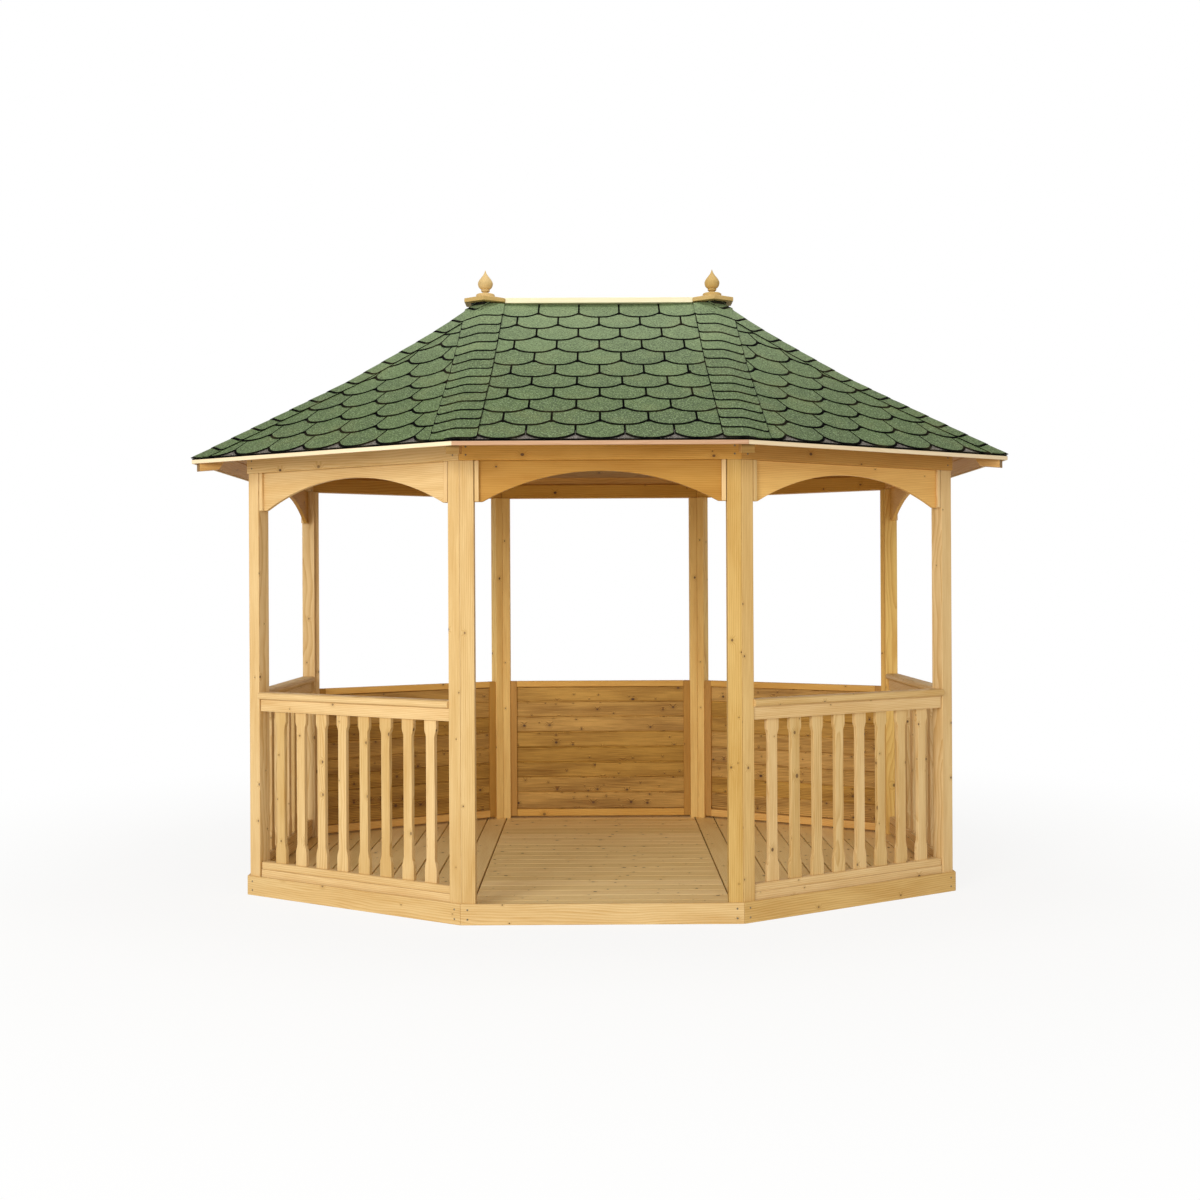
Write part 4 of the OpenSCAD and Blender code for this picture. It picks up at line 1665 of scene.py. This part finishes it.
            def granules(v: float, felt: Callable[[float], float] = lift) -> float:
                """Height of this row's granules off the deck."""
                return felt(v) + self.skin

            for k in range(-count, count + 1):
                s = (k + 0.5 * (j % 2)) * self.tab
                edge = clip(self.tab_outline(s, t, 0.0, 0.0), window)
                # the skin stops short of the lower edge: the bare felt there is painted shadow
                face = clip(self.tab_outline(s, t, self.rim, self.butt_shadow), window)
                tone = rng.uniform(-1.0, 1.0)
                if edge:
                    self.plate(stock, edge, frame, lift, self.tab_t, tone, 1, settle)
                if face:
                    self.plate(stock, face, frame, granules, self.skin, tone, 0, settle)
            j += 1

    def _hip(self, stock: Stock, i: int, rng: random.Random) -> None:
        """Lays the folded caps up one hip, each a dark felt with a granule skin that leaves a bare band at
        its lower edge as painted shadow.

        Args:
            stock: The mesh they go to.
            i: Corner of the hip.
            rng: Draws the tone of each cap.
        """
        low = PLAN.on_plane(PLAN.corner(i, 0.0, PLAN.deck_r + self.over))
        peak = PLAN.on_plane(PLAN.peak(i))
        run = (peak - low).length
        up = (peak - low).normalized()
        right, left = RoofFace(i).frame, RoofFace((i + 7) % 8).frame
        n_right, n_left = right.col[2].xyz, left.col[2].xyz
        b_right, b_left = up.cross(n_right).normalized(), n_left.cross(up).normalized()
        n_mid = (n_right + n_left).normalized()

        def spot(a: float, b: float, h: float) -> Vector:
            """Finds a point of a cap.

            Args:
                a: Distance up the hip.
                b: Distance across it, to the right.
                h: Height off the deck.

            Returns:
                The point on the built-up covering, held above the eave line.
            """
            if b == 0.0:
                return self.heaped(low + up * a + n_mid * (h - self.crease))
            out, normal, face = (b_right, n_right, right) if b > 0 else (b_left, n_left, left)
            rise = face.col[1].xyz
            a = max(a, -abs(b) * out.dot(rise) / up.dot(rise))
            return self.heaped(low + up * a + out * abs(b) + normal * h)

        count = int((run - self.heap_r) / self.cap_row) + 1
        for j in range(count):
            a0 = j * self.cap_row
            a1 = min(a0 + self.cap_row + self.cap_lap, run - self.cap_stop)
            width = min(self.cap_w, self.cap_tip + (run - a0) / 2)
            r = min(self.cap_r, width / 2)
            tone = rng.uniform(-1.0, 1.0)
            edge = self.rim if j < count - 1 else 0.0
            skinned = self.cap_t + self.cap_skin
            for slot, cut, butt_shadow, rise, thick in ((1, 0.0, 0.0, 0.0, self.cap_t),
                                                 (0, edge, self.butt_shadow, self.cap_skin, skinned)):
                head = self.cap_lift + rise
                rings = []
                for b in self._across(width - cut, r):
                    over = max(0.0, abs(b) - (width - cut - r))
                    a = a0 + butt_shadow + r - math.sqrt(max(0.0, r * r - over * over))
                    foot = head + self.cap_rise * (a1 - a) / (a1 - a0)
                    rings.append([spot(a, b, foot), spot(a1, b, head), spot(a1, b, head - thick),
                                  spot(a, b, foot - thick)])
                stock.loft(rings, tone, slot)

    def _across(self, width: float, radius: float) -> list[float]:
        """Spaces the points across a cap, close together at its rounded corners.

        Args:
            width: Half its width.
            radius: Radius of its corners.

        Returns:
            The distances from the hip, from left to right.
        """
        turns = [math.pi / 2 * k / self.corner_steps for k in range(self.corner_steps + 1)]
        half = [width - radius * (1 - math.cos(t)) for t in turns] + list(self.folds)
        return [-b for b in half] + [0.0] + half[::-1]


@dataclass
class RoofTimber:
    """Eave trim, ridge board, finial caps and turned finials, and the finish of the hidden roof timber."""

    finish: Finishes
    trim_h: float = 0.017
    board_h: float = 0.026
    board_w: float = 0.095
    cap_r: float = 0.117
    cap_edge: float = 0.019
    cap_bevel: float = 0.014
    cap_flat: float = 0.062
    cap_lift: float = 0.003
    foot_d: float = 0.095
    foot_h: float = 0.019
    neck_d: float = 0.024
    neck_h: float = 0.012
    bead_d: float = 0.045
    bead_h: float = 0.010
    bulb_d: float = 0.076
    bulb_low: float = 0.031
    bulb_top: float = 0.067
    tail_w: float = 0.0526
    tail_back: float = 0.018
    tail_flat: float = 0.087
    tail_in: float = 0.125
    tail_rise: float = 0.010
    tail_lap: float = 0.001
    trim_edge: float = 0.0015
    board_edge: float = 0.002
    cap_round: float = 0.0018
    tip: float = 0.0012
    blunt: float = 0.001
    turns: int = 40

    def build(self) -> None:
        """Builds and dresses the roof timber."""
        eave_z = PLAN.ridge_z - PLAN.rise
        trim = Stock(100)
        gap = PLAN.gap / 2
        for i in range(8):
            place = PLAN.place(i, PLAN.eave_r)
            inverse = place.inverted()
            flat = []
            for end, r, g in ((i, PLAN.eave_r, gap), (i + 1, PLAN.eave_r, -gap), (i + 1, PLAN.deck_r, -gap),
                              (i, PLAN.deck_r, gap)):
                x, y, _ = inverse @ PLAN.corner(end, 0.0, r).to_3d()
                flat.append((x + g, y))
            # painted highlight on the trims of all but the front and back
            trim.prism(flat, self.trim_h, place @ Matrix.Translation((0.0, 0.0, eave_z - self.trim_h)),
                       Grain.X, self.trim_edge, 0 if Side(i) in (Side.FRONT, Side.BACK) else 1)
        trim.make("eave_trim_strips", [self.finish.trim, self.finish.pale], "trim", ["eave_trim"])
        reach = PLAN.ridge_x - self.cap_r * math.cos(math.radians(30))
        ridge = Stock(101)
        # the ridge plank takes a painted highlight
        ridge.prism(rectangle(-reach, -self.board_w / 2, reach, self.board_w / 2), self.board_h,
                    Matrix.Translation((0.0, 0.0, PLAN.ridge_z)), Grain.X, self.board_edge)
        ridge.make("ridge_plank", [self.finish.ridge], "pine", ["ridge_board"])
        self._caps()
        self._finials()
        self._tails()

    def _tails(self) -> None:
        """Fills the rafter tails below to the nearly level cut that shows at the eaves."""
        tails = Stock(104)
        up = Vector((0.0, 0.0, 1.0))
        for i in range(8):
            start, stop = PLAN.peak(i), PLAN.corner(i, 0.0, PLAN.deck_r)
            out = (stop - start).normalized()
            end = (stop - start).length - self.tail_back
            low, high = (PLAN.settle(PLAN.on_plane(start + out * d)).z - PLAN.deck_v - PLAN.hip_h
                         for d in (end, end - self.tail_in))
            outline = [(end - self.tail_in, high + self.tail_lap),
                       (end - self.tail_flat, low + self.tail_rise), (end, low), (end, low + self.tail_lap)]
            across = out.to_3d().cross(up)
            place = Matrix((out.to_3d(), up, across)).transposed().to_4x4()
            place.translation = start.to_3d() - across * (self.tail_w / 2)
            tails.prism(outline, self.tail_w, place, Grain.X, 0.0)
        tails.make("rafter_tail_fillets", [self.finish.roof_timber], "roof_timber")

    def _caps(self) -> None:
        """Builds the six-sided bevelled caps."""
        caps = Stock(102)
        low = PLAN.ridge_z + self.cap_lift
        for sign in (-1, 1):
            bm = lathe([(self.cap_r, 0.0), (self.cap_r, self.cap_edge),
                        (self.cap_flat, self.cap_edge + self.cap_bevel)], 6, math.radians(30))
            ease_edges(bm, list(bm.edges), self.cap_round)
            caps.take(bm, Matrix.Translation((sign * PLAN.ridge_x, 0.0, low)), Grain.X)
        caps.make("finial_cap_plates", [self.finish.turned], "pine", ["finial_caps"])

    def profile(self) -> Outline:
        """Draws half the section of a finial: foot, hollow neck, bead and pointed bulb.

        Returns:
            The outline, x outwards and y up.
        """
        f, n, r, b = self.foot_d / 2, self.neck_d / 2, self.bead_d / 2, self.bulb_d / 2
        z1 = self.foot_h
        z2 = z1 + self.neck_h
        z3 = z2 + self.bead_h
        z4 = z3 + self.bulb_low
        top = z4 + self.bulb_top
        deg = math.radians
        line = [(f, 0.0), (f, 0.65 * z1), (0.97 * f, 0.8 * z1), (0.9 * f, 0.9 * z1), (0.7 * f, z1)]
        # the neck, hollowed as it rises
        line += [(n + (0.7 * f - n) * (1 - k / 8) ** 2, z1 + self.neck_h * k / 8) for k in range(1, 9)]
        # the bead, half round
        line += [(n + (r - n) * (0.7 + 0.3 * math.sin(deg(30 * k))), z2 + self.bead_h * k / 6)
                 for k in range(7)]
        # the bulb, a quarter round below its widest and drawn in to the point above
        line += [(1.2 * n + (b - 1.2 * n) * math.sin(deg(9 * k)),
                  z3 + self.bulb_low * (1 - math.cos(deg(9 * k)))) for k in range(11)]
        line += [(b * (0.54 + 0.46 * math.cos(deg(11.25 * k))) * (1 - 0.015 * k),
                  z4 + self.bulb_top * k / 16) for k in range(1, 15)]
        return line + [(self.tip, top - self.blunt)]

    def _finials(self) -> None:
        """Turns the two finials."""
        turned = Stock(103)
        low = PLAN.ridge_z + self.cap_lift + self.cap_edge + self.cap_bevel
        for sign in (-1, 1):
            bm = lathe(self.profile(), self.turns)
            turned.take(bm, Matrix.Translation((sign * PLAN.ridge_x, 0.0, low)), Grain.Z)
        turned.make("finials_turned", [self.finish.turned], "pine", ["finials"], smooth=True)

    def dress(self, nodes: dict[str, bpy.types.Object]) -> None:
        """Gives the CAD nodes that stay their finishes.

        Args:
            nodes: The CAD nodes by name.
        """
        kept = {"hip_rafters": self.finish.roof_timber, "king_blocks": self.finish.roof_timber,
                "ridge_beam": self.finish.roof_timber, "floor_bearers": self.finish.roof_timber,
                "finial_seats": self.finish.bitumen}
        for name, material in kept.items():
            for slot in nodes[name].material_slots:
                slot.material = material
            LOG.info("%s: finish %s", name, material.name)


@dataclass
class Screws:
    """Countersunk screws at the ends of the skirting and the plates."""

    finish: Finishes
    head: float = 0.0042
    dome: float = 0.82
    recess: float = 0.35
    sunk: float = 0.0004
    brim: float = 0.0002
    crown: float = 0.0006
    lip: float = 0.0007
    pit: float = 0.0003
    inset: float = 0.030
    skirt_rows: tuple[float, float] = (0.024, 0.064)
    plate_rows: tuple[float, float] = (0.022, 0.056)
    steps: int = 14

    def build(self) -> None:
        """Builds and dresses the screws."""
        heads = Stock(110)
        skirt = (0.0, 0.0, self.skirt_rows)
        plate = (PLAN.plate_d, PLAN.plate_z, self.plate_rows)
        for i in range(8):
            for depth, low, rows in (skirt, plate):
                for x in (PLAN.start(i, depth) + self.inset, PLAN.stop(i, depth) - self.inset):
                    for z in rows:
                        place = PLAN.place(i) @ Matrix.Translation((x, depth, low + z)) @ UPRIGHT
                        heads.take(lathe(self.profile(), self.steps), place, Grain.X)
        heads.make("screw_heads", [self.finish.zinc], "pine")

    def profile(self) -> Outline:
        """Section of a head, a little proud of the wood, with a recess for the driver."""
        return [(self.head, -self.sunk), (self.head, self.brim), (self.head * self.dome, self.crown),
                (self.head * self.recess, self.lip), (0.0, -self.pit)]


@dataclass(frozen=True)
class Lamp:
    """A square soft lamp."""

    name: str
    spot: Place
    aim: Place
    size: float
    power: float
    colour: Colour

    def hang(self) -> None:
        """Hangs the lamp with its light towards what it aims at."""
        data = bpy.data.lights.new(self.name, "AREA")
        data.size = self.size
        data.energy = self.power
        data.color = self.colour
        lamp = bpy.data.objects.new(self.name, data)
        lamp.location = self.spot
        lamp.rotation_euler = (Vector(self.aim) - Vector(self.spot)).to_track_quat("-Z", "Y").to_euler()
        bpy.context.scene.collection.objects.link(lamp)


@dataclass
class Studio:
    """Pale floor, soft light and the camera."""

    focal_px: float = 1350.956
    image_px: float = 1200.0
    horizon_px: float = 590.967
    sensor: float = 36.0
    eye: Place = (-0.016, -6.8214, 1.3892)
    yaw: float = 0.0022
    roll: float = -0.0049
    floor_r: float = 60.0
    floor_colour: Colour = (0.84, 0.82, 0.77)
    floor_rough: float = 0.9
    shadow_r: tuple[float, float] = (1.5, 5.0)
    shadow_white: float = 0.86
    sky: Colour = (1.0, 0.97, 0.90)
    sky_light: float = 0.5
    lamps: tuple[Lamp, ...] = (
        Lamp("key", (-4.6, -9.0, 3.7), (0.0, 0.0, 1.0), 4.0, 500.0, (1.0, 0.99, 0.97)),
        Lamp("fill", (6.5, -8.0, 3.0), (0.0, 0.0, 1.2), 5.0, 55.0, (1.0, 0.99, 0.98)),
        Lamp("front", (-0.4, -9.5, 2.4), (0.0, 0.6, 0.6), 3.0, 90.0, (1.0, 0.99, 0.97)),
        Lamp("top", (0.5, -0.5, 6.6), (0.1, -0.4, 2.6), 1.6, 70.0, (1.0, 1.0, 1.0)))

    def build(self) -> None:
        """Builds the studio."""
        self._camera()
        self._floor()
        self._world()
        for lamp in self.lamps:
            lamp.hang()
        bpy.context.scene.view_settings.view_transform = "Standard"

    def _camera(self) -> None:
        """Places the camera of the photograph."""
        data = bpy.data.cameras.new("camera")
        data.sensor_fit = "HORIZONTAL"
        data.sensor_width = self.sensor
        data.lens = self.focal_px / self.image_px * self.sensor
        data.shift_y = (self.horizon_px - self.image_px / 2) / self.image_px
        camera = bpy.data.objects.new("camera", data)
        camera.matrix_world = (Matrix.Translation(self.eye) @ Matrix.Rotation(-self.yaw, 4, "Z")
                               @ Matrix.Rotation(math.pi / 2, 4, "X") @ Matrix.Rotation(self.roll, 4, "Z"))
        bpy.context.scene.collection.objects.link(camera)
        bpy.context.scene.camera = camera

    def _floor(self) -> None:
        """Lays the pale floor, which shows white to the camera and keeps the shadow."""
        mesh = bpy.data.meshes.new("studio_floor")
        corners = rectangle(-self.floor_r, -self.floor_r, self.floor_r, self.floor_r)
        mesh.from_pydata([(x, y, 0.0) for x, y in corners], [], [(0, 1, 2, 3)])
        mat, g, shader = new_material("studio_floor")
        shader["Base Color"].default_value = (*self.floor_colour, 1.0)
        shader["Roughness"].default_value = self.floor_rough
        shader["Specular IOR Level"].default_value = 0.0
        away = g.vector("LENGTH", g.node("ShaderNodeTexCoord").outputs["Object"])
        white = g.ease(away.outputs["Value"], *self.shadow_r, self.shadow_white, 1.0)
        nodes = mat.node_tree.nodes
        blend = g.fill(g.node("ShaderNodeMixShader"), g.math("MULTIPLY", g.seen(), white),
                       nodes["Principled BSDF"].outputs[0], g.node("ShaderNodeEmission").outputs[0])
        g.feed(nodes["Material Output"].inputs["Surface"], blend.outputs[0])
        mesh.materials.append(mat)
        floor = bpy.data.objects.new("studio_floor", mesh)
        bpy.context.scene.collection.objects.link(floor)

    def _world(self) -> None:
        """Sets an even sky that shows white to the camera."""
        world = bpy.data.worlds.new("studio")
        bpy.context.scene.world = world
        world.use_nodes = True
        g = Graph(world.node_tree)
        back = world.node_tree.nodes["Background"].inputs
        seen = g.seen()
        g.feed(back["Strength"], g.math("MULTIPLY_ADD", seen, 1.0 - self.sky_light, self.sky_light))
        g.feed(back["Color"], g.mix(seen, (*self.sky, 1.0), (1.0, 1.0, 1.0, 1.0)))


def main() -> None:
    """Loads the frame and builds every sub-assembly."""
    logging.basicConfig(level=logging.INFO, format="%(name)s %(message)s")
    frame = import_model()
    finish = Finishes(Effects())
    Studio().build()
    Base(finish).build()
    Frame(finish).build()
    Arches(finish).build()
    Balustrades(finish).build()
    Panels(finish).build()
    timber = RoofTimber(finish)
    timber.build()
    timber.dress(frame["nodes"])
    Decking(finish).build()
    Covering(finish).build()
    Screws(finish).build()


if __name__ == "__main__":
    main()
